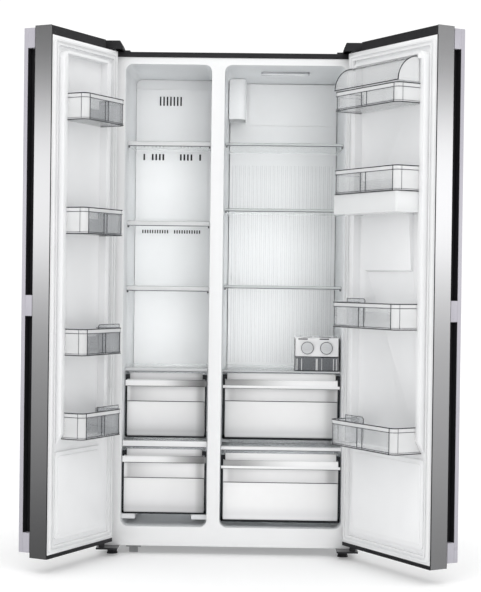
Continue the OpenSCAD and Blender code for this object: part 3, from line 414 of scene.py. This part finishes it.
def prism(bm, outline, lo, hi, axis="Y"):
    """Closed prism of an outline between two planes across the axis."""
    place = PLACE[axis]
    ends = [[bm.verts.new(place(a, b, t)) for a, b in outline] for t in (lo, hi)]
    for ring in ends:
        bm.faces.new(ring)
    n = len(outline)
    for k in range(n):
        bm.faces.new([ends[0][k], ends[0][(k + 1) % n], ends[1][(k + 1) % n], ends[1][k]])


def rounded(a0, a1, b0, b1, r, steps=5):
    """Outline of a rectangle with round corners."""
    pts = []
    centres = ((a1 - r, b0 + r), (a1 - r, b1 - r), (a0 + r, b1 - r), (a0 + r, b0 + r))
    for (ca, cb), start in zip(centres, (-90, 0, 90, 180)):
        for k in range(steps + 1):
            t = math.radians(start + 90 * k / steps)
            pts.append((ca + r * math.cos(t), cb + r * math.sin(t)))
    return pts


def frame_ring(bm, outer, inner, lo, hi, axis="Y"):
    """Closed ring between two outlines with as many points each."""
    place = PLACE[axis]
    rings = [[bm.verts.new(place(a, b, t)) for a, b in o]
             for o, t in ((outer, lo), (outer, hi), (inner, hi), (inner, lo))]
    n = len(outer)
    for j in range(4):
        for k in range(n):
            after = rings[(j + 1) % 4]
            bm.faces.new([rings[j][k], rings[j][(k + 1) % n], after[(k + 1) % n], after[k]])


def rod(bm, pts, r, sides=6):
    """Thin round bead along an open path."""
    pts = [Vector(p) for p in pts]
    rings = []
    for k, p in enumerate(pts):
        t = (pts[min(k + 1, len(pts) - 1)] - pts[max(k - 1, 0)]).normalized()
        a = t.cross(Vector((0.31, 0.17, 0.93))).normalized()
        b = t.cross(a)
        rings.append([bm.verts.new(p + (a * math.cos(q) + b * math.sin(q)) * r)
                      for q in (2 * math.pi * j / sides for j in range(sides))])
    for ra, rb in zip(rings, rings[1:]):
        for j in range(sides):
            bm.faces.new([ra[j], ra[(j + 1) % sides], rb[(j + 1) % sides], rb[j]])
    bm.faces.new(rings[0])
    bm.faces.new(rings[-1])


def ribbon(bm, path, z0, z1, t):
    """Upright strip of thickness t along a path in plan."""
    rings = []
    for k, (x, y) in enumerate(path):
        ax, ay = path[max(k - 1, 0)]
        bx, by = path[min(k + 1, len(path) - 1)]
        d = Vector((by - ay, ax - bx)).normalized() * t / 2
        rings.append([bm.verts.new((x + i * d.x, y + i * d.y, z))
                      for i, z in ((1, z0), (1, z1), (-1, z1), (-1, z0))])
    for ra, rb in zip(rings, rings[1:]):
        for j in range(4):
            bm.faces.new([ra[j], ra[(j + 1) % 4], rb[(j + 1) % 4], rb[j]])
    bm.faces.new(rings[0])
    bm.faces.new(rings[-1])


def piece(name, bm, body, material, nodes=(), matrix=None, bevel=0.0):
    """Turns a finished bmesh into a piece of the object."""
    if matrix:
        bm.transform(matrix)
    bmesh.ops.recalc_face_normals(bm, faces=bm.faces)
    mesh = bpy.data.meshes.new(name)
    bm.to_mesh(mesh)
    bm.free()
    o = link(mesh, name)
    if bevel:
        round_edges(o, bevel, 2)
    else:
        mesh.polygons.foreach_set("use_smooth", [True] * len(mesh.polygons))
        mesh.set_sharp_from_angle(angle=math.radians(35))
    dress(o, material)
    return finish_piece(o, body, nodes)


# width of the rounding of each CAD node that a softened copy stands for
SOFT = {
    "freezer_door_liner": 0.006, "fridge_door_liner": 0.006,
    "freezer_liner": 0.003, "fridge_liner": 0.003,
    "freezer_handle_bar": 0.002, "fridge_handle_bar": 0.002,
    "front_frame": 0.0008, "top_trim": 0.001, "hinge_covers": 0.003,
    "ice_maker_frame": 0.0012, "water_tank": 0.004, "damper_box": 0.004,
}
soft = {node: soften(node, w) for node, w in SOFT.items()}
dress(soft["water_tank"], TANK_WHITE)
for side in SIDES:
    dress(soft[side + "_liner"], LINER_PAINTED_SHADE)
    dress(N[side + "_door_bins"], BIN_CLEAR_LIGHT_AND_SHADE[side])

# ---------- door bins, in door coordinates ----------
CORNER = 0.020          # radius of a bin's two front corners
BIN_BACK = 0.0015       # p of its back
RIM_H = 0.014
TAB_H = 0.013           # how far a bottle tab stands above the rim
TAB_T = 0.002
BEAD = 0.0018           # radius of a painted dark outline
BIN_MARKS = (0.0, 0.44, 0.53)       # upright lines on the front, as shares of its width


def bin_path(s0, s1, p, grow=0.0, steps=6):
    """Plan of a bin's outside, from its back corner at the hinge side to the one at the free side."""
    r = CORNER
    pts = [(s0 - grow, BIN_BACK)]
    for cs, start in ((s0 + r, 180), (s1 - r, 90)):
        for k in range(steps + 1):
            t = math.radians(start - 90 * k / steps)
            pts.append((cs + (r + grow) * math.cos(t), p - r + (r + grow) * math.sin(t)))
    return pts + [(s1 + grow, BIN_BACK)]


def bin_details(side, tabs, tab_depth, tab_span):
    """Painted dark outlines and lines, bright rims, painted highlights on the ends, and bottle tabs of one
    door's clear bins.
    """
    edges, lines, rims, ends, plates = (bmesh.new() for _ in range(5))
    for k, (lo, hi) in enumerate(islands(side + "_door_bins", DOOR[side].inverted())):
        s0, s1, p, z0, z1 = lo.x, hi.x, hi.y, lo.z, hi.z
        plan = bin_path(s0, s1, p, 0.0002)
        for z in (z0 + 0.0008, z1 - 0.0004):
            rod(edges, [(*q, z) for q in plan], BEAD)
        rod(lines, [(*q, z1 - RIM_H) for q in plan], BEAD * 0.8)
        rod(lines, [(*q, z0 + 0.006) for q in plan], BEAD * 0.6)
        for s, q in ((s1 - CORNER, p), (s1, BIN_BACK + 0.002), (s0 + 0.001, p - CORNER)):
            rod(edges, [(s, q, z0 + 0.002), (s, q, z1 - 0.001)], BEAD)
        width = s1 - s0 - 2 * CORNER
        for f in BIN_MARKS:
            s = s0 + CORNER + f * width
            rod(lines, [(s, p, z0 + 0.004), (s, p, z1 - RIM_H)], BEAD * 0.9)
        rod(lines, [(s1, p - CORNER, z0 + 0.004), (s1, p - CORNER, z1 - 0.002)], BEAD * 0.7)
        front = [(s, p + 0.0004) for s in (s0 + CORNER, s0 + CORNER + 0.33 * width, s1 - CORNER)]
        ribbon(rims, front, z1 - RIM_H + 0.001, z1 - 0.0015, 0.0006)
        ribbon(ends, bin_path(s0, s1, p, 0.0003)[-8:], z0 + 0.002, z1 - 0.002, 0.0005)
        if k in tabs:
            q = tab_depth * p
            a0, a1 = (s0 + f * (s1 - s0) for f in tab_span)
            outline = [(a0, z0 + 0.01), (a1 - 0.008, z0 + 0.01), (a1, z0 + 0.03), (a1, z1 + TAB_H - 0.006),
                       (a1 - 0.006, z1 + TAB_H), (a0, z1 + TAB_H)]
            prism(plates, outline, q, q + TAB_T)
            rod(edges, [(a, q, b) for a, b in outline[1:] + outline[:1]], BEAD * 0.8)
    body = side + "_door"
    piece(side + "_bin_edges", edges, body, PAINTED_DARK_OUTLINE, matrix=DOOR[side])
    piece(side + "_bin_lines", lines, body, SHADE_LINES_AND_BRACKETS, matrix=DOOR[side])
    piece(side + "_bin_rims", rims, body, RIM, matrix=DOOR[side])
    piece(side + "_bin_ends", ends, body, PAINTED_END_HIGHLIGHT, matrix=DOOR[side])
    piece(side + "_bottle_tabs", plates, body, M["clear_plastic"], matrix=DOOR[side])


bin_details("freezer", (2, 3), 0.88, (0.02, 0.56))
bin_details("fridge", (2, 3), 0.50, (0.03, 0.32))

# ---------- dairy cover ----------
PIN_R = 0.0035
lo, hi = islands("dairy_cover", DOOR["fridge"].inverted())[0]
arc_r = hi.z - PIN_R - lo.z
arc_p = hi.y - arc_r
s0, s1 = lo.x + 0.004, hi.x - 0.004


def arc(s, r, a0, a1, steps=10):
    ts = [math.radians(a0 + (a1 - a0) * k / steps) for k in range(steps + 1)]
    return [(s, arc_p + r * math.cos(t), lo.z + r * math.sin(t)) for t in ts]


# dark lines along the cover's edges: painted dark reflections in its clear edges
bm = bmesh.new()
for s in (s0 + 0.001, s1 - 0.001):
    rod(bm, arc(s, arc_r, 1, 89, 14), BEAD)
rod(bm, [(s0, hi.y, lo.z + 0.001), (s1, hi.y, lo.z + 0.001)], BEAD)
rod(bm, [(s0, arc_p, lo.z + arc_r), (s1, arc_p, lo.z + arc_r)], BEAD)
piece("dairy_edges", bm, "dairy_cover", PAINTED_DARK_OUTLINE, matrix=DOOR["fridge"])
# dark band along the top of the cover's curve: a painted reflection
bm = bmesh.new()
strip = [arc(s, arc_r + 0.0004, 58, 84, 6) for s in (s0 + 0.006, s1 - 0.012)]
near, far = ([bm.verts.new(q) for q in row] for row in strip)
for j in range(len(near) - 1):
    bm.faces.new([near[j], near[j + 1], far[j + 1], far[j]])
bmesh.ops.solidify(bm, geom=bm.faces[:], thickness=0.0005)
piece("dairy_painted_reflection", bm, "dairy_cover", SMOKE_AND_PAINTED_REFLECTION, matrix=DOOR["fridge"])
dress(N["dairy_cover"], COVER_CLEAR)
# painted highlight on the cover's rounded end
bm = bmesh.new()
end = s1 - 0.0008
outline = [(arc_p, lo.z + 0.001)] + [q[1:] for q in arc(end, arc_r - 0.0012, 1, 89, 14)]
prism(bm, outline, end, end + 0.0006, "X")
piece("dairy_ends", bm, "dairy_cover", PAINTED_END_HIGHLIGHT, matrix=DOOR["fridge"])

# ---------- seam between each door's steel pan and its inner panel ----------
SEAM_T = 0.0028
SEAM_P = 0.0003
SEAM_S = (-0.0002, 0.0013)      # from the inner panel's free edge
for side in SIDES:
    lo, hi = islands(side + "_door_liner", DOOR[side].inverted())[0]
    bm = bmesh.new()
    a, b = hi.x + SEAM_S[0], hi.x + SEAM_S[1]
    prism(bm, [(a, lo.z), (b, lo.z), (b, hi.z), (a, hi.z)], -SEAM_T, SEAM_P)
    piece(side + "_door_seam", bm, side + "_door", M["black_plastic"], matrix=DOOR[side])

# ---------- black lining on the inner face of each handle bar, between its stand-off blocks ----------
LINING_T = 0.0008
for side in SIDES:
    inverse = DOOR[side].inverted()
    edge = islands(side + "_handle_bar", inverse)[0][1].x - 0.0006
    bm = bmesh.new()
    for lo, hi in islands(side + "_handle_channel", inverse):
        front = lo.y + LINING_T
        prism(bm, [(lo.x, lo.y), (edge, lo.y), (edge, front), (lo.x, front)], lo.z, hi.z, "Z")
    piece(side + "_handle_lining", bm, side + "_door", M["black_plastic"], matrix=DOOR[side])

# ---------- shelf trims: white on the drawer panes, pearl on the drawer covers, clear above them ----------
PANE_Z = (0.5, 0.7)     # a trim lies over the lower drawer, over the upper drawer, or on a shelf
TRIM_R = 0.0024
BRACKET = 0.005
clear_trims, glass_trims, pearl_trims, white_trims, dark = (bmesh.new() for _ in range(5))
for lo, hi in islands("shelf_trims"):
    if hi.z < PANE_Z[0]:
        target = white_trims
    elif hi.z < PANE_Z[1]:
        target = pearl_trims
    else:
        target = clear_trims if hi.x < 0 else glass_trims
    prism(target, rounded(lo.y, hi.y, lo.z, hi.z, TRIM_R, 3), lo.x, hi.x, "X")
    # dark lines along each trim's lower and upper edges: painted shade
    for z, k in ((lo.z + 0.0014, 1.0), (hi.z - 0.0012, 0.45)):
        rod(dark, [(lo.x + 0.002, lo.y + 0.0012, z), (hi.x - 0.002, lo.y + 0.0012, z)], BEAD * k)
    if target in (clear_trims, glass_trims):
        for x in (lo.x + 0.001, hi.x - 0.001 - BRACKET):
            outline = rounded(x, x + BRACKET, lo.z - 0.006, lo.z + 0.001, 0.001, 2)
            prism(dark, outline, lo.y + 0.004, hi.y + 0.012)
piece("white_shelf_trims", white_trims, "cabinet", M["white_plastic"], ["shelf_trims"])
piece("pearl_shelf_trims", pearl_trims, "cabinet", PEARL)
piece("clear_shelf_trims", clear_trims, "cabinet", TRIM_CLEAR)
piece("glass_shelf_trims", glass_trims, "cabinet", TRIM_GLASS)
piece("shelf_trim_lines", dark, "cabinet", SHADE_LINES_AND_BRACKETS)

# ---------- drawer fronts ----------
GAP_SHADOW_W = {"freezer": 0.0062, "crisper": 0.0080}    # width of the dark outline, a painted shadow of the gap round the drawer
POST = 0.007
LIP = {"freezer": (0.0, 0.94), "crisper": (-0.36, 0.10)}     # foot and top of the bar's lip, in its heights
PANEL_T = 0.008
LINE_R = 0.0011
CLIP_W = 0.012
CLIP_TOP = 0.018                            # how far the ends stand above the grip bar


def drawer(name):
    """Milky panel with painted shade, smoked window with painted highlights, grip bar with a painted
    reflection, and the dark outline of one drawer: a painted shadow of the gap between its clear-plastic edge
    and the liner.
    """
    node = name + "_front"
    kind = name.split("_")[0]
    edge = GAP_SHADOW_W[kind]
    body = N[node]["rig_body"]
    lo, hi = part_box(node)
    levels = sorted({round(v.co.z, 4) for v in N[node].data.vertices})
    z0, z1, z2, z3 = levels[0], levels[1], levels[2], levels[-1]
    y0 = hi.y - PANEL_T
    left, right = lo.x + edge, hi.x - edge
    bm = bmesh.new()
    prism(bm, rounded(left, right, z0 + edge, z1, 0.003, 3), y0, hi.y)
    piece(name + "_panel", bm, body, MILK_PAINTED_SHADE[name], [node], bevel=0.0012)

    bm = bmesh.new()
    prism(bm, rounded(left, right, z1 - 0.001, z2 + 0.004, 0.002, 3), y0 + 0.0012, y0 + 0.0036)
    piece(name + "_window", bm, body, WINDOW_PAINTED_LIGHT)

    # lip below, face above it with a round top, closed behind
    bm = bmesh.new()
    foot, lip = (z2 + share * (z3 - z2) for share in LIP[kind])
    face = [(lo.y + 0.0015, lip - 0.003), (lo.y + 0.0022, z3 - 0.0035), (lo.y + 0.0035, z3 - 0.001),
            (lo.y + 0.006, z3), (hi.y, z3), (hi.y, z3 - 0.004), (y0 + 0.002, z3 - 0.005)]
    prism(bm, face, left, right, "X")
    piece(name + "_grip", bm, body, GRIP_PAINTED_REFLECTION[kind], bevel=0.001)
    bm = bmesh.new()
    section = rounded(lo.y, lo.y + 0.0065, foot, lip, 0.0028, 4)
    prism(bm, section, lo.x + 0.0005, hi.x - 0.0005, "X")
    piece(name + "_lip", bm, body, GRIP_PAINTED_REFLECTION[kind] if kind == "freezer" else LIP_WHITE)

    # upper edge of the tub, seen above the grip, with painted shade
    bm = bmesh.new()
    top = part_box(name + "_tub")[1].z - 0.0005
    prism(bm, rounded(lo.x + 0.015, hi.x - 0.015, z3 - 0.004, top, 0.001, 2), y0 + 0.0062, y0 + 0.0080)
    piece(name + "_tub_top", bm, body, TUB_TOP_PAINTED_SHADE[kind])

    # dark ends and foot, a painted shadow of the gap round the drawer; dark lines of painted shade over the
    # panel and under the grip; and the clips on top
    bm = bmesh.new()
    rod(bm, [(left, y0, z1 + 0.0006), (right, y0, z1 + 0.0006)], LINE_R)
    for x in (lo.x - 0.0008, hi.x + 0.0008 - edge):
        prism(bm, rounded(x, x + edge, z0 + 0.004, z3 + CLIP_TOP, 0.001, 2), y0 + 0.001, y0 + 0.006)
    prism(bm, rounded(lo.x, hi.x, z0, z0 + 2 * edge, 0.004, 4), y0 + 0.001, y0 + 0.006)
    outline = rounded(lo.x + POST, hi.x - POST, foot - 0.002, foot + 0.001, 0.001, 2)
    prism(bm, outline, y0 + 0.0005, y0 + 0.003)
    for x in (lo.x + 0.004, hi.x - 0.004 - CLIP_W):
        prism(bm, rounded(x, x + CLIP_W, z3 + 0.002, z3 + CLIP_TOP, 0.002, 2), y0 + 0.0085, y0 + 0.012)
    piece(name + "_edge", bm, body, GAP_SHADOW_AND_CLIPS)


for name in ("freezer_upper", "freezer_lower", "crisper_upper", "crisper_lower"):
    drawer(name)

# ---------- twist ice maker ----------
KNOB_R = 0.0205
KNOB_BAR = (0.018, 0.0032)      # half sizes of the raised bar on a knob
ICE_RIBS = ((0.03, 0.004), (0.14, 0.003), (0.5, 0.007), (0.62, 0.002), (0.9, 0.003), (0.97, 0.004))
ICE_LINE_Z = 0.694
ICE_SLOT = 0.034


def disc(cx, cz, r):
    """Outline of a round knob or ring."""
    return rounded(cx - r, cx + r, cz - r, cz + r, r - 0.0001, 12)


for side in ("left", "right"):
    lo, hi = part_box("ice_tray_" + side)
    cx, cz = (lo.x + hi.x) / 2, (lo.z + hi.z) / 2
    w, h = KNOB_BAR
    bm = bmesh.new()
    prism(bm, disc(cx, cz, KNOB_R), lo.y + 0.0032, lo.y + 0.0052)
    prism(bm, rounded(cx - w, cx + w, cz - h, cz + h, 0.003, 4), lo.y - 0.0004, lo.y + 0.005)
    piece("ice_knob_" + side, bm, "ice_tray_" + side, PEARL, bevel=0.0008)
    # dark ring round each knob: painted shade
    bm = bmesh.new()
    frame_ring(bm, disc(cx, cz, KNOB_R + 0.0017), disc(cx, cz, KNOB_R + 0.0001), lo.y + 0.0034, lo.y + 0.0048)
    piece("ice_knob_ring_" + side, bm, "ice_tray_" + side, SHADE_LINES_AND_BRACKETS)

lo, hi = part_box("ice_bin")
bm = bmesh.new()
outline = rounded(lo.x + 0.0005, hi.x - 0.0005, lo.z + 0.0005, hi.z - 0.0005, 0.002, 3)
prism(bm, outline, lo.y - 0.0004, lo.y + 0.0006)
piece("ice_bin_face", bm, "ice_bin", SMOKE_AND_PAINTED_REFLECTION)
bm = bmesh.new()
for f, w in ICE_RIBS:
    x = lo.x + f * (hi.x - lo.x)
    outline = rounded(x - w / 2, x + w / 2, lo.z + 0.003, hi.z - 0.003, 0.0008, 2)
    prism(bm, outline, lo.y - 0.0010, lo.y - 0.0002)
piece("ice_bin_ribs", bm, "ice_bin", RIM)

# dark lines round the ice maker's front and two dark slots on its top: painted shade
lo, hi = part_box("ice_maker_frame")
bm = bmesh.new()
y = lo.y - 0.0002
for z in (ICE_LINE_Z, lo.z + 0.001):
    rod(bm, [(lo.x + 0.001, y, z), (hi.x - 0.001, y, z)], BEAD)
for x in (lo.x + 0.0005, hi.x - 0.0005):
    rod(bm, [(x, y, lo.z), (x, y, hi.z - 0.002)], BEAD * 0.8)
for k in (0, 1):
    x0 = lo.x + 0.012 + k * 0.5 * (hi.x - lo.x - 0.006)
    prism(bm, rounded(x0, x0 + ICE_SLOT, hi.z - 0.006, hi.z - 0.002, 0.001, 2), y - 0.0002, y + 0.0006)
piece("ice_maker_lines", bm, "cabinet", PAINTED_DARK_OUTLINE)

# ---------- rib lines of painted shade, lamp outline, painted shadow behind the air outlets ---
cover = N["fridge_duct_cover"].data.vertices
rib_y = sorted({round(v.co.y, 4) for v in cover})[1]
rib = [v.co for v in cover if abs(v.co.y - rib_y) < 2e-4]
rib_z = (min(v.z for v in rib), max(v.z for v in rib))
# grey lines along each rib edge of the fridge's duct cover: painted shade
bm = bmesh.new()
for x in sorted({round(v.x, 4) for v in rib}):
    rod(bm, [(x, rib_y, rib_z[0]), (x, rib_y, rib_z[1])], 0.0008, 4)
piece("rib_shade_lines", bm, "cabinet", RIB_PAINTED_SHADE)

lo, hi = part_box("ceiling_lamp")
bm = bmesh.new()
frame_ring(bm, rounded(lo.x - 0.002, hi.x + 0.002, lo.y - 0.002, hi.y + 0.002, 0.013),
           rounded(lo.x + 0.0015, hi.x - 0.0015, lo.y + 0.0015, hi.y - 0.0015, 0.010),
           lo.z - 0.0006, hi.z - 0.001, "Z")
piece("lamp_bezel", bm, "cabinet", LAMP_RIM)

OUTLETS = ((1.612, 1.659), (1.407, 1.443), (1.132, 1.157))      # heights of the three rows
OUTLET_Y = (0.4095, 0.4115)                                     # of the dark sheet behind the cover's slots, a painted shadow
# dark sheet behind the freezer duct cover's air slots: painted shadow
lo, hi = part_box("freezer_duct_cover")
bm = bmesh.new()
for z0, z1 in OUTLETS:
    prism(bm, rounded(lo.x + 0.012, hi.x - 0.012, z0, z1, 0.004, 3), *OUTLET_Y)
piece("air_outlet_shadow", bm, "cabinet", M["black_plastic"])


# ---------- floor, light and camera ----------
def stage_plane(name, size, color):
    me = bpy.data.meshes.new(name)
    s = size / 2
    me.from_pydata([(-s, -s, 0), (s, -s, 0), (s, s, 0), (-s, s, 0)], [], [(0, 1, 2, 3)])
    o = link(me, name)
    dress(o, plastic(name + "_mat", color, 0.75, 20.0, 0.02, 0.005, 0.0, 0.2))
    return o


FLOOR_GLOW = 0.14
floor = stage_plane("studio_floor", 80.0, (0.94, 0.94, 0.94))
floor.visible_glossy = False
floor_shader = floor.data.materials[0].node_tree.nodes["Principled BSDF"]
floor_shader.inputs["Emission Color"].default_value = (1, 1, 1, 1)
floor_shader.inputs["Emission Strength"].default_value = FLOOR_GLOW


def area(name, pos, target, size, energy):
    d = bpy.data.lights.new(name, "AREA")
    d.shape = "RECTANGLE"
    d.size, d.size_y = size
    d.energy = energy
    o = bpy.data.objects.new(name, d)
    bpy.context.scene.collection.objects.link(o)
    o.location = pos
    o.rotation_euler = (Vector(target) - Vector(pos)).to_track_quat("-Z", "Y").to_euler()
    return o


# soft light in each space between shelves, behind their front edges, that falls on the space's back
INNER_Y = 0.130
LOWEST_Y = 0.06         # of the lights in the lowest spaces, which are less deep
INNER_LIGHT = {"freezer": (0.49, 0.62, 0.66, 0.68), "fridge": (0.54, 0.65, 0.76, 0.80)}    # from the top down
DRAWER_LIGHT = 1.2
INNER_SPREAD = 95
INNER_AIM = -0.28       # sideways shift of the point that these lights face, 0.87 behind them
INNER_WIDTH = 0.85
INNER_MARGIN = 0.03     # what a light is less wide and high than its space
PANE_GAP = 0.02         # room left below a pane and over the floor
panes = islands("shelf_trims")
for side in SIDES:
    lo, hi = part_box(side + "_liner")
    cx, wide = (lo.x + hi.x) / 2, hi.x - lo.x - INNER_MARGIN
    tops = [hi.z] + [b[1].z for b in panes if (b[1].x < 0) == (side == "freezer")]
    spaces = [(tops[k + 1], tops[k], INNER_Y, INNER_LIGHT[side][k]) for k in range(4)]
    spaces += [(tops[5], tops[4] - PANE_GAP, INNER_Y, DRAWER_LIGHT),
               (lo.z + PANE_GAP, tops[5] - PANE_GAP, LOWEST_Y, DRAWER_LIGHT)]
    for k, (z0, z1, y, radiance) in enumerate(spaces):
        high = z1 - z0 - INNER_MARGIN
        mid = (z0 + z1) / 2
        aim = INNER_AIM if k < 4 else 0.0
        lamp = area("%s_light_%d" % (side, k), (cx, y, mid), (cx + aim, 1.0, mid),
                    (INNER_WIDTH * wide, high), radiance * math.pi * wide * high)
        lamp.data.spread = math.radians(INNER_SPREAD)
        lamp.visible_glossy = False

# reflector ring round the object: seen in reflections only, bright at breast height, grey above and below
RING = ((-1.2, 0.07), (-0.35, 0.14), (0.2, 0.35), (0.7, 0.52), (0.95, 0.92), (1.15, 1.5), (1.65, 1.5),
        (1.85, 0.82), (2.05, 0.24), (2.5, 0.20), (4.5, 0.8))     # height and brightness
RING_R = 3.5
RING_H = 9.0
RING_SIDE = 0.10        # how much brighter it is on the right than on the left
RING_GAIN = 2.0         # emission strength, by which the colours are divided
bm = bmesh.new()
bmesh.ops.create_cone(bm, cap_ends=False, segments=64, radius1=RING_R, radius2=RING_R, depth=RING_H)
ring_mesh = bpy.data.meshes.new("reflector_ring")
bm.to_mesh(ring_mesh)
bm.free()
ring = link(ring_mesh, "reflector_ring")
m, nt, b = node_mat("reflector_glow")
sep = nt.nodes.new("ShaderNodeSeparateXYZ")
nt.links.new(coords(nt, (1, 1, 1)), sep.inputs[0])
curve = nt.nodes.new("ShaderNodeValToRGB")
z0, z1 = RING[0][0], RING[-1][0]
fit = nt.nodes.new("ShaderNodeMapRange")
fit.inputs["From Min"].default_value = z0
fit.inputs["From Max"].default_value = z1
nt.links.new(sep.outputs["Z"], fit.inputs["Value"])
nt.links.new(fit.outputs["Result"], curve.inputs["Fac"])
els = curve.color_ramp.elements
while len(els) < len(RING):
    els.new(0.5)
for e, (z, v) in zip(els, RING):
    e.position = (z - z0) / (z1 - z0)
    e.color = (*shade((1, 1, 1), v / RING_GAIN), 1)
b.inputs["Base Color"].default_value = (0, 0, 0, 1)
b.inputs["Specular IOR Level"].default_value = 0.0
b.inputs["Emission Strength"].default_value = RING_GAIN
tilt = nt.nodes.new("ShaderNodeMapRange")
for key, value in (("From Min", -2.0), ("From Max", 2.0), ("To Min", 0.0), ("To Max", RING_SIDE)):
    tilt.inputs[key].default_value = value
nt.links.new(sep.outputs["X"], tilt.inputs["Value"])
total = nt.nodes.new("ShaderNodeVectorMath")
nt.links.new(curve.outputs["Color"], total.inputs[0])
nt.links.new(tilt.outputs["Result"], total.inputs[1])
nt.links.new(total.outputs["Vector"], b.inputs["Emission Color"])
dress(ring, m)
ring.visible_camera = False
ring.visible_diffuse = False
ring.visible_shadow = False
ring.visible_transmission = False

area("key_top", (0.0, -2.6, 3.9), (0, 0.1, 0.9), (3.4, 1.8), 18)

world = bpy.data.worlds.new("studio")
bpy.context.scene.world = world
world.use_nodes = True
bg = world.node_tree.nodes["Background"]
bg.inputs["Color"].default_value = (1, 1, 1, 1)
bg.inputs["Strength"].default_value = 1.06

CAM_LENS = 111.85
CAM_AT = (0.1283, -5.2292, 0.9677)
CAM_TURN = (-1.018, -0.631, 0.746)      # degrees of yaw, pitch and roll
cam = bpy.data.cameras.new("camera")
cam.sensor_fit = "HORIZONTAL"
cam.sensor_width = 36.0
cam.lens = CAM_LENS
cam.clip_end = 200.0
cam_obj = bpy.data.objects.new("camera", cam)
bpy.context.scene.collection.objects.link(cam_obj)
yaw, pitch, roll = (math.radians(v) for v in CAM_TURN)
fwd = Vector((math.sin(yaw) * math.cos(pitch), math.cos(yaw) * math.cos(pitch), math.sin(pitch)))
right = Vector((math.cos(yaw), -math.sin(yaw), 0))
up = right.cross(fwd)
r = right * math.cos(roll) + up * math.sin(roll)
u = up * math.cos(roll) - right * math.sin(roll)
rot = Matrix((r, u, -fwd)).transposed()
cam_obj.matrix_world = Matrix.Translation(CAM_AT) @ rot.to_4x4()
bpy.context.scene.camera = cam_obj
bpy.context.scene.view_settings.view_transform = "Standard"
